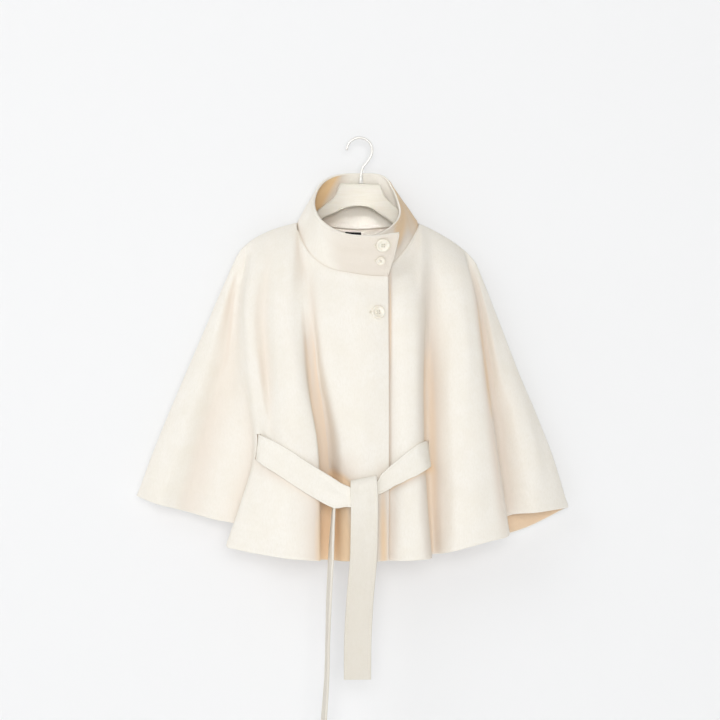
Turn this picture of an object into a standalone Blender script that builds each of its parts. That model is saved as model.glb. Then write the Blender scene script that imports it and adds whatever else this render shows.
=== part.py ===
"""Belted cape jacket on a broad flat hanger.

The origin is where the wire hook is held, inside the top of its bend. +Z is up,
+X is to the viewer's right, and the front of the jacket faces -Y. Left and right
in the names of pieces are the wearer's, so the right front has negative X.

Tables are in millimetres. Every cloth piece is a surface through the rows of its
table, thickened to a wall.
"""
import math

import bmesh
import bpy
from mathutils import Matrix, Vector

MM = 0.001

# Cloth and seams
CLOTH = 2.0
COLLAR_CLOTH = 4.6
BELT_CLOTH = 3.6
LABEL_CLOTH = 0.8
SEAM_GAP = 0.3
COLLAR_GAP = 0.5
RIM_ROUND = 1.6
BELT_ROUND = 1.1
COLLAR_BULGE = 2.0

# Heights of the levels at which the fronts and the back are laid out
CHEST_Z = -282.0
WAIST_Z = -399.0
BELT_Z = -525.0

# Levels down a front or the back are 0 at the top edge, 1 at the shoulder roll,
# 2 at the yoke, 3 at the chest, 4 at the waist, 5 at the belt and 6 at the hem.
# Mesh rows between the top edge, roll, yoke, chest, waist, slit top, slit foot, hem
ROWS_BETWEEN = (1, 2, 3, 3, 4, 3, 3)
SLIT_STRIP = 5
SLIT_FOLD = "slit_front"
# Levels of the top and the foot of each belt slit; the back's rows follow the first
SLIT_FRONT_RIGHT = (4.802, 5.113)
SLIT_FRONT_LEFT = (4.888, 5.166)

# A step along a surface for working out the way it faces
NORMAL_STEP = 0.02

# How the cloth turns over the hanger's shoulders
ROLL_DEPTH = 6.0
ROLL_RISE = 0.4
NECK_ROLL = 0.12
NECK_TURN = 1.3
SEAM_ROLL = 0.06
YOKE_FALL = 0.3
YOKE_DEPTH = 0.62
YOKE_CLEAR = 9.5
NOSE_DEPTH = 5.0
NOSE_OUT = 0.9
NOSE_RISE = 0.6

# Neck seam and collar rim, from the overlapping end, round the back, to the end
# underneath: name, base x, y, z, rim x, y, z
COLLAR = (
    ("over_end", 46.5, -76, -236, 64.5, -100, -167),
    ("over_mid", 17, -76, -235, 16, -101, -172),
    ("front", -16, -73, -230, -30, -90, -166),
    ("front_left", -48, -66, -223, -64, -60, -144),
    ("left_front", -73, -54, -208, -77, -36, -121),
    ("left_mid", -94, -31, -182, -78, -14, -101),
    ("neck_left", -106, 0, -143, -66, 5, -74),
    ("back_left_side", -93, 13, -142, -51, 15, -64),
    ("back_left", -54, 21, -147, -30, 20, -59),
    ("back", -3, 24, -151, 1, 22, -58),
    ("back_right", 47, 21, -148, 30, 20, -59),
    ("back_right_side", 87, 13, -143, 46, 14, -65),
    ("neck_right", 100, 0, -144, 57, 1, -83),
    ("right_mid", 91, -27, -169, 66, -12, -105),
    ("right_front", 71, -48, -198, 70, -28, -126),
    ("right_over", 48, -60, -219, 63, -48, -144),
    ("under_mid", 18, -64, -229, 36, -66, -165),
    ("under_end", -16, -64, -232, 1, -78, -178),
)
NECK_LEFT = 6
NECK_RIGHT = 12
NECK_LAST = len(COLLAR) - 1
# The collar bulges away from this line through the neck
COLLAR_MIDDLE_Y = -38.0
COLLAR_CUTS = 3
COLLAR_ROWS = 5

# Shoulder seams, from the neck to the tip: x, y, z
SHOULDER_LEFT_SIDE = (
    (-106, 0, -143),
    (-144, 0, -154),
    (-178, 0, -170),
    (-198, 0, -186),
    (-206, 0, -196),
)
SHOULDER_RIGHT_SIDE = (
    (100, 0, -144),
    (132, 0, -160),
    (162, 0, -178),
    (184, 0, -196),
    (197, 0, -211),
)

# Over-arm seams below the shoulder tips: x, y at chest, waist and belt, hem x, y, z
SEAM_LEFT_SIDE = (-244, 4, -294, 5, -347, 6, -377, 8, -606)
SEAM_RIGHT_SIDE = (225, 4, 270, 5, 322, 6, 354, 8, -625)

# Each piece's over-arm seams: their line, the place where they meet the top edge, the
# place of the rounded nose beside them and the mesh columns to the next fold
SEAM_FRONT_RIGHT = (SEAM_LEFT_SIDE, 10.0, 9.85, 1)
SEAM_FRONT_LEFT = (SEAM_RIGHT_SIDE, 9.0, 8.85, 1)
SEAMS_BACK = ((SEAM_LEFT_SIDE, -4.0, -3.85, 2), (SEAM_RIGHT_SIDE, 10.0, 9.85, 2))
# The places between which each piece's top edge is the neck seam. A front's starts
# long before its own edge, so that it doesn't turn into a shoulder there.
NECK_FRONT_RIGHT = (-9, NECK_LEFT)
NECK_FRONT_LEFT = (-9, NECK_LAST - NECK_RIGHT)
NECK_BACK = (0, NECK_RIGHT - NECK_LEFT)

# Folds of the right front, from the closure to the over-arm seam: name, place on
# the top edge, mesh columns to the next fold, chest x, y, waist x, y, belt x, y,
# hem x, y, z. The top edge counts the neck seam's rows and then the shoulder's.
FRONT_RIGHT = (
    ("front_edge", 0.0, 2, 47, -84, 48, -90, 48, -92, 47, -95, -707),
    ("placket", 1.0, 3, 19, -88, 21, -94, 21, -95, 19, -98, -708),
    ("panel", 2.3, 4, -22, -85, -16, -92, -6, -94, -9, -96, -708),
    ("panel_side", 4.1, 3, -69, -76, -54, -83, -30, -84, -29, -82, -709),
    ("valley_3", 4.8, 2, -81, -67, -68, -58, -52, -49, -46, -43, -711),
    ("fold_3", 5.1, 2, -92, -67, -82, -63, -76, -64, -73, -66, -708),
    ("ridge_3_in", 5.5, 2, -101, -69, -89, -82, -69, -91, -65, -96, -707),
    ("ridge_3", 6.0, 2, -116, -71, -107, -89, -96, -96, -91, -103, -705),
    ("ridge_3_out", 6.6, 2, -140, -61, -134, -71, -124, -92, -120, -98, -703),
    ("valley_2", 7.0, 2, -161, -43, -155, -48, -143, -82, -148, -92, -699),
    ("ridge_2_in", 7.35, 2, -176, -45, -168, -55, -154, -75, -175, -86, -695),
    ("slit_front", 7.65, 1, -185, -45, -178, -54, -164.5, -64, -206, -78, -689),
    ("slit_side", 7.95, 3, -193, -38, -186, -48, -173.5, -56, -222, -64, -685),
    ("flank_2", 8.3, 3, -200, -23, -196, -32, -182, -36, -203, -36, -655),
    ("flank_1", 8.7, 3, -208, -11, -209, -17, -220, -21, -249, -22, -643),
    ("valley_1", 9.15, 2, -217, -7, -234, -6, -268, -7, -295, -8, -631),
    ("ridge_1", 9.6, 3, -231, -13, -265, -19, -311, -23, -341, -23, -618),
)

# Folds of the left front, from its hidden edge under the closure to the seam
FRONT_LEFT = (
    ("under_edge", 0.0, 2, -12, -70, -12, -76, -12, -79, -12, -81, -705),
    ("under_mid", 1.0, 2, 21, -75, 21, -81, 21, -83, 21, -85, -707),
    ("gap", 2.0, 2, 52, -79.5, 52, -84.5, 52, -86.5, 53, -89.5, -707),
    ("ridge_4", 3.1, 2, 74, -84, 75, -91, 79, -94, 83, -101, -706),
    ("ridge_4_out", 4.2, 2, 96, -78, 96, -88, 98.5, -90, 110, -99, -704),
    ("fold_4", 5.1, 2, 107, -68, 106, -73, 107.5, -77, 120, -84, -704),
    ("slit_front", 5.4, 1, 112, -60, 107, -53, 109, -59, 116, -64, -703),
    ("slit_side", 5.6, 2, 119, -54, 115.5, -43, 116.8, -50, 124, -50, -700),
    ("bank_4", 5.8, 2, 129, -53, 131, -51, 136, -59, 139, -66, -697),
    ("ridge_5", 6.2, 2, 147, -57, 154, -67, 160, -76, 163, -86, -690),
    ("ridge_5_out", 6.9, 2, 179, -54, 191, -66, 205, -74, 215, -84, -676),
    ("fold_5_front", 7.55, 2, 199, -40, 213, -50, 231, -57, 250, -65, -667),
    ("fold_5_back", 7.85, 2, 191, -21, 204, -25, 220, -29, 238, -34, -648),
    ("valley_5", 8.1, 2, 204, -11, 223, -13, 240, -15, 254, -18, -637),
    ("outer", 8.35, 2, 213, -13, 241, -19, 275, -25, 298, -28, -632),
    ("outer_side", 8.65, 3, 219, -9, 256, -13, 302, -17, 330, -17, -628),
)

# Soft flutes of the back, from the over-arm seam at negative X to the other. The
# top edge counts from the first shoulder tip (-4) over the neck (0 to 6) to the
# second tip (10).
BACK = (
    ("flute_1", -3.2, 2, -206, 15, -241, 18, -280, 21, -301, 23, -630),
    ("dip_1", -2.2, 2, -172, 18, -196, 18, -222, 16, -237, 14, -642),
    ("flute_2", -1.1, 2, -136, 22, -152, 25, -169, 29, -177, 33, -664),
    ("dip_2", 0.0, 3, -97, 21, -103, 20, -109, 17, -113, 15, -682),
    ("flute_3", 1.6, 3, -47, 25, -51, 27, -55, 31, -57, 34, -693),
    ("dip_3", 3.0, 3, -3, 24, -3, 22, -2, 18, -1, 16, -698),
    ("flute_4", 4.4, 3, 41, 25, 45, 27, 51, 31, 54, 34, -697),
    ("dip_4", 6.0, 2, 90, 21, 97, 20, 105, 17, 110, 15, -692),
    ("flute_5", 7.1, 2, 124, 22, 142, 25, 159, 29, 169, 33, -685),
    ("dip_5", 8.2, 2, 160, 18, 184, 18, 210, 16, 226, 14, -677),
    ("flute_6", 9.2, 2, 194, 14, 226, 17, 263, 20, 285, 22, -661),
)

# Stretches of the belt along their middle: x, y, z, width, tilt and yaw of the
# width in degrees. Tilt lifts it from +X towards +Z, yaw turns it towards -Y.
BELT_RUN_RIGHT = (
    (-166, -51, -520.5, 41, 86, 0),
    (-169, -61.5, -520.5, 41, 86, 0),
    (-167.8, -71.5, -521.5, 42, 82, 0),
    (-160, -81.5, -525.5, 43, 75, 0),
    (-147.5, -88.7, -532, 45, 67, 0),
    (-128, -96.6, -543, 45, 60, 0),
    (-103, -101.8, -559.5, 45, 58.5, 0),
    (-65, -105, -583, 45, 58.5, 0),
    (-32, -107.6, -601, 43, 60, 0),
    (-14, -108.8, -603, 33, 66, 0),
    (10, -108.9, -605, 26, 80, 0),
)
BELT_RUN_LEFT = (
    (111, -48, -531, 41, 96, 0),
    (114.6, -57.5, -531, 41, 97, 0),
    (114.4, -68, -531.5, 42, 99, 0),
    (111.8, -81.5, -532.5, 44, 102, 0),
    (103, -93.8, -536.5, 45, 108, 0),
    (88, -98.8, -546.5, 42, 117, 0),
    (67, -101.5, -560, 35.5, 122, 0),
    (46, -103.2, -574, 29, 122, 0),
    (31, -104.8, -586.5, 21, 114, 0),
    (8, -104.8, -593, 20, 104, 0),
)
BELT_BACK = (
    (-165.9, -50.6, -520.5, 41, 86, 0),
    (-158, -33, -524, 43, 90, 0),
    (-146, -13, -531, 44, 90, 0),
    (-116, 1, -539, 45, 90, 0),
    (-60, 6, -547, 45, 90, 0),
    (0, 7, -550, 45, 90, 0),
    (56, 6, -549, 45, 90, 0),
    (96, -2, -544, 45, 90, 0),
    (109, -18, -538, 44, 90, 0),
    (111.5, -34, -533, 42, 92, 0),
    (110.9, -47.6, -531, 41, 96, 0),
)
BELT_TAIL_FRONT = (
    (7, -100, -612, 34, 4, 0),
    (7, -100, -590, 40, 8, 0),
    (7, -101.1, -577, 43, 11, 0),
    (7, -106.5, -571.6, 44, 11, 0),
    (7, -111.9, -577, 44.5, 11, 0),
    (7.5, -113.2, -590, 45, 6, 0),
    (8.4, -113.4, -612, 45, 0, 0),
    (8, -112, -650, 45, 0, 2),
    (6.4, -110.5, -705, 45, 0, 5),
    (0.8, -108.5, -771, 45, 0, 4),
    (-2.7, -107, -837, 45, 0, 1),
    (-3.3, -106, -902, 45, 0, -2),
)
BELT_TAIL_SIDE = (
    (-41.5, -91.2, -600, 26, 0, 86),
    (-42.5, -91.5, -620, 27, 0, 85),
    (-44, -94.5, -642, 37, 0, 84),
    (-45.5, -97, -668, 43, 0, 83),
    (-47, -98, -703, 45, 0, 81),
    (-50.3, -98.5, -769, 45, 0, 82),
    (-52.5, -98.5, -840, 45, 0, 84),
    (-54, -98, -901, 45, 0, 83),
    (-58.5, -97.5, -967, 45, 0, 81),
    (-61, -97, -1013, 45, 0, 80),
)
BELT_CUTS = 3

# Buttons: name, piece, place along it, place up or down it, diameter
BUTTONS = (
    ("button_collar_top", "collar", 0.5, 0.76, 23.0),
    ("button_collar_low", "collar", 0.52, 0.37, 15.0),
    ("button_front", "front_right", 0.6, 3.16, 23.0),
)
BUTTON_DIAMETER = 23.0
# Half of a button's section, down its outer side: radius, height
BUTTON_PROFILE = (
    (0.0, 1.1),
    (6.3, 0.9),
    (8.3, 1.8),
    (10.3, 1.8),
    (11.5, 0.7),
    (11.2, -0.8),
    (9.4, -1.6),
    (0.0, -1.7),
)
BUTTON_BACK = 1.7
BUTTON_STEPS = 20
BUTTON_HOLE_SPACING = 2.6
BUTTON_HOLE_RADIUS = 0.95
BUTTON_HOLE_SIDES = 8
BUTTON_HOLE_DEPTH = 10.0

# Blank neck label: places along and down the back piece
LABEL_ALONG = (6.7, 7.08)
LABEL_DOWN = (0.45, 1.25)
LABEL_CUTS = 4

# Hanger
HANGER_THICKNESS = 11.0
HANGER_ROUND = 2.6
# Outline from the middle outwards: x, top z, bottom z on each side of the middle.
# It hangs a little askew, as the shoulders do.
HANGER_NEGATIVE_X = (
    (-33, -75.6, -121.5),
    (-36.5, -84, -124),
    (-40, -93, -126),
    (-46, -102, -128.5),
    (-57, -110.5, -133),
    (-69, -119.5, -140),
    (-84, -135, -152),
    (-96, -148.5, -162),
    (-108, -153.5, -169),
    (-144, -159.4, -180),
    (-178, -174.6, -194),
    (-188, -183, -200),
)
HANGER_POSITIVE_X = (
    (35, -76.4, -129),
    (38, -85, -131),
    (41.5, -94, -133),
    (48, -103, -138),
    (58, -112, -146),
    (69, -122, -154),
    (80, -136, -161),
    (90, -147.5, -168),
    (102, -153.5, -175),
    (132, -165.6, -187),
    (162, -182.6, -203),
    (174, -192, -211),
)
HANGER_MIDDLE_BOTTOM = ((-22, -117.8), (0, -114.8), (20, -119))
HANGER_TIP_OUT = 4.0
HANGER_CUTS = 3

HOOK_WIRE = 4.4
HOOK_BEND = 21.6
HOOK_BEND_FROM = 180
HOOK_BEND_TO = -25
HOOK_BEND_STEP = 12
HOOK_CUTS = 2
# The wire below its bend, down to the hanger: x, z
HOOK_SHANK = ((14.6, -37), (8, -45), (4, -53), (2.6, -61), (2.6, -75.3))
FERRULE_RADIUS = 3.6
FERRULE_TOP = -61.5
FERRULE_BOTTOM = -75.6
FERRULE_SIDES = 24
FERRULE_ROUND = 0.6

# Colours and finishes: base colour, roughness, metallic
WOOL = ((0.86, 0.80, 0.66), 0.9, 0.0)
BUTTON_PLASTIC = ((0.84, 0.77, 0.62), 0.35, 0.0)
LABEL_BLACK = ((0.01, 0.01, 0.012), 0.8, 0.0)
HANGER_PAINT = ((0.80, 0.74, 0.61), 0.6, 0.0)
HOOK_METAL = ((0.80, 0.78, 0.72), 0.22, 1.0)


def clear_scene():
    for thing in list(bpy.data.objects):
        bpy.data.objects.remove(thing, do_unlink=True)


def make_collection(name):
    collection = bpy.data.collections.new(name)
    bpy.context.scene.collection.children.link(collection)
    return collection


def make_material(name, finish):
    colour, roughness, metallic = finish
    material = bpy.data.materials.new(name)
    material.use_nodes = True
    shader = material.node_tree.nodes["Principled BSDF"]
    shader.inputs["Base Color"].default_value = (*colour, 1.0)
    shader.inputs["Roughness"].default_value = roughness
    shader.inputs["Metallic"].default_value = metallic
    return material


def blend(first, second, share):
    return first + (second - first) * share


def smooth_step(low, high, value):
    share = max(0.0, min(1.0, (value - low) / (high - low)))
    return share * share * (3.0 - 2.0 * share)


def curve_point(points, place):
    """A smooth curve through points, at place, counted in points (centripetal)."""
    last = len(points) - 1
    span = max(0, min(last - 1, int(math.floor(place))))
    share = place - span
    start, end = points[span], points[span + 1]
    before = points[span - 1] if span > 0 else start * 2.0 - end
    after = points[span + 2] if span + 2 <= last else end * 2.0 - start
    step_in = max(1e-4, (start - before).length ** 0.5)
    step = max(1e-4, (end - start).length ** 0.5)
    step_out = max(1e-4, (after - end).length ** 0.5)
    slope_in = (start - before) / step_in - (end - before) / (step_in + step) + (end - start) / step
    slope_out = (end - start) / step - (after - start) / (step + step_out) + (after - end) / step_out
    slope_in *= step
    slope_out *= step
    squared, cubed = share * share, share * share * share
    return (
        start * (2 * cubed - 3 * squared + 1)
        + slope_in * (cubed - 2 * squared + share)
        + end * (3 * squared - 2 * cubed)
        + slope_out * (cubed - squared)
    )


NECK_SEAM = [Vector(row[1:4]) for row in COLLAR]
COLLAR_RIM = [Vector(row[4:7]) for row in COLLAR]
LEFT_SHOULDER = [Vector(row) for row in SHOULDER_LEFT_SIDE]
RIGHT_SHOULDER = [Vector(row) for row in SHOULDER_RIGHT_SIDE]


def front_right_edge(place):
    """Top edge of the right front: neck seam, then shoulder seam."""
    if place <= NECK_LEFT:
        return curve_point(NECK_SEAM, place)
    return curve_point(LEFT_SHOULDER, place - NECK_LEFT)


def front_left_edge(place):
    """Top edge of the left front, from the hidden end of the neck seam."""
    neck_rows = NECK_LAST - NECK_RIGHT
    if place <= neck_rows:
        return curve_point(NECK_SEAM, NECK_LAST - place)
    return curve_point(RIGHT_SHOULDER, place - neck_rows)


def back_edge(place):
    """Top edge of the back: shoulder seam, neck seam, shoulder seam."""
    neck_rows = NECK_RIGHT - NECK_LEFT
    if place < 0:
        return curve_point(LEFT_SHOULDER, -place)
    if place <= neck_rows:
        return curve_point(NECK_SEAM, NECK_LEFT + place)
    return curve_point(RIGHT_SHOULDER, place - neck_rows)


def fold_levels(row):
    """A fold's places at chest, waist, belt and hem."""
    return [
        Vector((row[0], row[1], CHEST_Z)),
        Vector((row[2], row[3], WAIST_Z)),
        Vector((row[4], row[5], BELT_Z)),
        Vector((row[6], row[7], row[8])),
    ]


class Panel:
    """A front or the back: a surface through its folds, from top edge to hem.

    Its folds are stations 0, 1, 2 ... along it. facing is -1 for a front and 1
    for the back.
    """

    def __init__(self, table, top_edge, facing, seams, neck_places, slit):
        self.top_edge = top_edge
        self.slit = slit
        self.facing = facing
        self.neck_from, self.neck_to = neck_places
        self.names = []
        self.places = []
        self.cuts = []
        self.levels = []
        self.seam_first = bool(seams[0])
        self.seam_last = bool(seams[1])
        if seams[0]:
            self.add_seam(seams[0], first=True)
        for name, place, cuts, *levels in table:
            self.names.append(name)
            self.places.append(place)
            self.cuts.append(cuts)
            self.levels.append(fold_levels(levels))
        if seams[1]:
            self.add_seam(seams[1], first=False)
        self.last = len(self.places) - 1

    def add_seam(self, seam, first):
        """The over-arm seam, with a rounded nose beside it."""
        row, place, nose_place, nose_cuts = seam
        outward = NOSE_OUT if row[0] > 0 else -NOSE_OUT
        edge = fold_levels(row)
        for level in edge:
            level.y += self.facing * SEAM_GAP / 2
        nose = [level + Vector((outward, self.facing * NOSE_DEPTH, 0)) for level in edge]
        self.names += ["seam", "nose"] if first else ["nose", "seam"]
        if first:
            self.places += [place, nose_place]
            self.cuts += [1, nose_cuts]
            self.levels += [edge, nose]
        else:
            self.places += [nose_place, place]
            self.cuts += [1, 0]
            self.levels += [nose, edge]

    def nose_levels(self, top, chest, on_seam):
        """Top edge, roll and yoke beside the over-arm seam: 1 on it, 0 at the nose."""
        shift = Vector((0, self.facing * NOSE_DEPTH * (1 - on_seam), 0))
        outward = NOSE_OUT * (1 - on_seam)
        shift.x = outward if chest.x > 0 else -outward
        shift.z = NOSE_RISE * (1 - on_seam)
        roll = blend(top, chest, SEAM_ROLL) + shift
        yoke = blend(top, chest, YOKE_FALL) + shift
        return roll, yoke

    def column(self, along):
        """The level points of the vertical line at this place along the panel."""
        station = min(int(along), self.last - 1)
        share = along - station
        place = self.places[station] + (self.places[station + 1] - self.places[station]) * share
        lower = [curve_point([fold[i] for fold in self.levels], along) for i in range(4)]
        chest = lower[0]
        top = self.top_edge(place)
        to_end = min(
            along if self.seam_first else self.last,
            self.last - along if self.seam_last else self.last,
        )
        on_neck_from = smooth_step(self.neck_from, self.neck_from + NECK_TURN, place)
        on_neck_to = smooth_step(self.neck_to - NECK_TURN, self.neck_to, place)
        on_shoulder = 1.0 - on_neck_from * (1.0 - on_neck_to)
        if on_shoulder == 1.0:
            top = top + Vector((0, self.facing * SEAM_GAP / 2, 0))
        shoulder_roll = top + Vector((0, self.facing * ROLL_DEPTH, ROLL_RISE))
        roll = blend(blend(top, chest, NECK_ROLL), shoulder_roll, on_shoulder)
        yoke = blend(top, chest, YOKE_FALL)
        yoke_depth = self.facing * max(abs(chest.y) * YOKE_DEPTH, YOKE_CLEAR)
        yoke.y += (yoke_depth - yoke.y) * on_shoulder
        if to_end < 2:
            # Within two stations of the over-arm seam the cloth rounds to its nose
            nose_roll, nose_yoke = self.nose_levels(top, chest, max(0.0, 1 - to_end))
            share = smooth_step(2, 1, to_end)
            roll = blend(roll, nose_roll, share)
            yoke = blend(yoke, nose_yoke, share)
        return [top, roll, yoke, *lower]

    def point(self, along, down):
        return curve_point(self.column(along), down)

    def normal(self, along, down):
        """Unit vector out of the garment."""
        step = NORMAL_STEP
        across = self.point(along + step, down) - self.point(along - step, down)
        drop = self.point(along, down + step) - self.point(along, down - step)
        direction = across.cross(drop).normalized()
        if direction.y * self.facing < 0:
            direction.negate()
        return direction

    def grid(self):
        """Rows of points, top to hem, and the column where each station lies."""
        alongs = []
        station_column = []
        for station in range(self.last):
            station_column.append(len(alongs))
            steps = self.cuts[station]
            alongs += [station + step / steps for step in range(steps)]
        station_column.append(len(alongs))
        alongs.append(self.last)
        marks = (0, 1, 2, 3, 4, *self.slit, 6)
        downs = [0.0]
        for above, below, steps in zip(marks, marks[1:], ROWS_BETWEEN):
            downs += [blend(above, below, (step + 1) / steps) for step in range(steps)]
        columns = [self.column(along) for along in alongs]
        rows = [[curve_point(column, down) for column in columns] for down in downs]
        return rows, station_column


def collar_point(along, up):
    """The collar's outer face: along counts its table's rows, up goes 0 to 1."""
    base = curve_point(NECK_SEAM, along)
    rim = curve_point(COLLAR_RIM, along)
    base = base + (rim - base).normalized() * COLLAR_GAP
    outward = blend(base, rim, 0.5) - Vector((0, COLLAR_MIDDLE_Y, 0))
    outward.z = 0
    bulge = outward.normalized() * COLLAR_BULGE * 4 * up * (1 - up)
    return blend(base, rim, up) + bulge


def collar_normal(along, up):
    """Unit vector out of the collar's outer face."""
    step = NORMAL_STEP
    across = collar_point(along + step, up) - collar_point(along - step, up)
    rise = collar_point(along, up + step) - collar_point(along, up - step)
    return rise.cross(across).normalized()


def sheet_object(name, rows, outward, collection, material, holes=()):
    """An open surface through rows of points in mm; outward says which way it faces."""
    work = bmesh.new()
    verts = [[work.verts.new(point * MM) for point in row] for row in rows]
    for i in range(len(rows) - 1):
        for j in range(len(rows[0]) - 1):
            if (i, j) in holes:
                continue
            corners = (verts[i][j], verts[i][j + 1], verts[i + 1][j + 1], verts[i + 1][j])
            work.faces.new(corners)
    work.normal_update()
    leaning = sum(face.normal.dot(outward(face.calc_center_median())) for face in work.faces)
    if leaning < 0:
        bmesh.ops.reverse_faces(work, faces=work.faces)
    mesh = bpy.data.meshes.new(name)
    work.to_mesh(mesh)
    work.free()
    mesh.shade_smooth()
    piece = bpy.data.objects.new(name, mesh)
    collection.objects.link(piece)
    mesh.materials.append(material)
    return piece


def add_wall(piece, thickness, offset):
    solidify = piece.modifiers.new("wall", "SOLIDIFY")
    solidify.thickness = thickness * MM
    solidify.offset = offset
    solidify.use_even_offset = False
    return solidify


def add_rounding(piece, width, segments, angle=60):
    bevel = piece.modifiers.new("rounding", "BEVEL")
    bevel.width = width * MM
    bevel.segments = segments
    bevel.limit_method = "ANGLE"
    bevel.angle_limit = math.radians(angle)
    return bevel


def slit_faces(panel, station_column):
    """Mesh faces left out for the belt slit, beside the fold of that name."""
    if SLIT_FOLD not in panel.names:
        return set()
    top_row = sum(ROWS_BETWEEN[:SLIT_STRIP])
    column = station_column[panel.names.index(SLIT_FOLD)]
    return {(top_row + step, column) for step in range(ROWS_BETWEEN[SLIT_STRIP])}


def make_panel(name, panel, collection, material):
    rows, station_column = panel.grid()
    holes = slit_faces(panel, station_column)
    piece = sheet_object(
        name, rows, lambda place: Vector((0, panel.facing, 0)), collection, material, holes
    )
    add_wall(piece, CLOTH, -1)
    return piece


def make_collar(collection, material):
    spans = NECK_LAST * COLLAR_CUTS
    rows = []
    for row in range(COLLAR_ROWS + 1):
        up = row / COLLAR_ROWS
        rows.append([collar_point(step / COLLAR_CUTS, up) for step in range(spans + 1)])

    def outward(place):
        return Vector((place.x, place.y - COLLAR_MIDDLE_Y * MM, 0))

    piece = sheet_object("collar", rows, outward, collection, material)
    add_wall(piece, COLLAR_CLOTH, -1)
    add_rounding(piece, RIM_ROUND, 2)
    return piece


def make_band(name, table, collection, material):
    """A stretch of belt, its width turned by tilt and yaw along its middle."""
    middles = [Vector(row[:3]) for row in table]
    shapes = [Vector(row[3:6]) for row in table]
    upper, lower = [], []
    steps = (len(table) - 1) * BELT_CUTS
    for step in range(steps + 1):
        place = step / BELT_CUTS
        middle = curve_point(middles, place)
        span = min(int(place), len(table) - 2)
        share = smooth_step(0, 1, place - span)
        width, tilt, yaw = blend(shapes[span], shapes[span + 1], share)
        tilt, yaw = math.radians(tilt), math.radians(yaw)
        across = Vector((
            math.cos(tilt) * math.cos(yaw),
            -math.cos(tilt) * math.sin(yaw),
            math.sin(tilt),
        ))
        upper.append(middle + across * (width / 2))
        lower.append(middle - across * (width / 2))
    piece = sheet_object(name, [upper, lower], lambda place: Vector((0, -1, 0)), collection, material)
    add_wall(piece, BELT_CLOTH, 0)
    add_rounding(piece, BELT_ROUND, 1)
    return piece


def make_label(panel, collection, material):
    """A blank tape on the inside of the back, just below the neck seam."""
    rows = []
    for i in range(LABEL_CUTS + 1):
        down = LABEL_DOWN[0] + (LABEL_DOWN[1] - LABEL_DOWN[0]) * i / LABEL_CUTS
        row = []
        for j in range(LABEL_CUTS + 1):
            along = LABEL_ALONG[0] + (LABEL_ALONG[1] - LABEL_ALONG[0]) * j / LABEL_CUTS
            inward = panel.normal(along, down) * -(CLOTH + SEAM_GAP)
            row.append(panel.point(along, down) + inward)
        rows.append(row)
    piece = sheet_object("neck_label", rows, lambda place: Vector((0, 1, 0)), collection, material)
    add_wall(piece, LABEL_CLOTH, -1)
    return piece


def facing_matrix(centre, normal):
    """Places a turned shape whose axis is Z so that it faces along normal."""
    side = Vector((0, 0, 1)).cross(normal).normalized()
    up = normal.cross(side)
    turn = Matrix((side, up, normal)).transposed().to_4x4()
    return Matrix.Translation(centre * MM) @ turn


def make_button(name, place, size, parts, cutters, material):
    """A four-hole button, turned about its axis."""
    scale = size / BUTTON_DIAMETER * MM
    mesh = bpy.data.meshes.new(name)
    verts = [(radius * scale, 0, height * scale) for radius, height in BUTTON_PROFILE]
    edges = [(i, i + 1) for i in range(len(verts) - 1)]
    mesh.from_pydata(verts, edges, [])
    mesh.materials.append(material)
    button = bpy.data.objects.new(name, mesh)
    parts.objects.link(button)
    screw = button.modifiers.new("turned", "SCREW")
    screw.axis = "Z"
    screw.steps = BUTTON_STEPS
    screw.render_steps = BUTTON_STEPS
    screw.use_merge_vertices = True
    screw.merge_threshold = 0.00001
    screw.use_smooth_shade = True

    work = bmesh.new()
    for turn in range(4):
        angle = math.radians(45 + 90 * turn)
        reach = BUTTON_HOLE_SPACING * scale
        shift = Matrix.Translation((reach * math.cos(angle), reach * math.sin(angle), 0))
        bmesh.ops.create_cone(
            work,
            cap_ends=True,
            segments=BUTTON_HOLE_SIDES,
            radius1=BUTTON_HOLE_RADIUS * scale,
            radius2=BUTTON_HOLE_RADIUS * scale,
            depth=BUTTON_HOLE_DEPTH * scale,
            matrix=shift,
        )
    cutter_mesh = bpy.data.meshes.new(name + "_holes")
    work.to_mesh(cutter_mesh)
    work.free()
    cutter = bpy.data.objects.new(name + "_holes", cutter_mesh)
    cutters.objects.link(cutter)
    cutter.hide_render = True
    cutter.display_type = "WIRE"
    holes = button.modifiers.new("holes", "BOOLEAN")
    holes.operation = "DIFFERENCE"
    holes.solver = "EXACT"
    holes.object = cutter
    button.matrix_world = place
    cutter.matrix_world = place
    return button


def hanger_run(places):
    """A smooth run of the hanger's outline through x, z places."""
    route = [Vector((x, 0, z)) for x, z in places]
    count = (len(route) - 1) * HANGER_CUTS
    return [curve_point(route, step / HANGER_CUTS) for step in range(count + 1)]


def hanger_outline():
    """The hanger's outline: its top on both sides, then its lower edge."""
    left_tip = HANGER_NEGATIVE_X[-1]
    right_tip = HANGER_POSITIVE_X[-1]
    outline = hanger_run([(x, top) for x, top, _bottom in reversed(HANGER_NEGATIVE_X)])
    outline += hanger_run([(x, top) for x, top, _bottom in HANGER_POSITIVE_X])
    outline.append(Vector((right_tip[0] + HANGER_TIP_OUT, 0, (right_tip[1] + right_tip[2]) / 2)))
    lower = [(x, bottom) for x, _top, bottom in reversed(HANGER_POSITIVE_X)]
    lower += list(reversed(HANGER_MIDDLE_BOTTOM))
    lower += [(x, bottom) for x, _top, bottom in HANGER_NEGATIVE_X]
    outline += hanger_run(lower)
    outline.append(Vector((left_tip[0] - HANGER_TIP_OUT, 0, (left_tip[1] + left_tip[2]) / 2)))
    return outline


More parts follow.
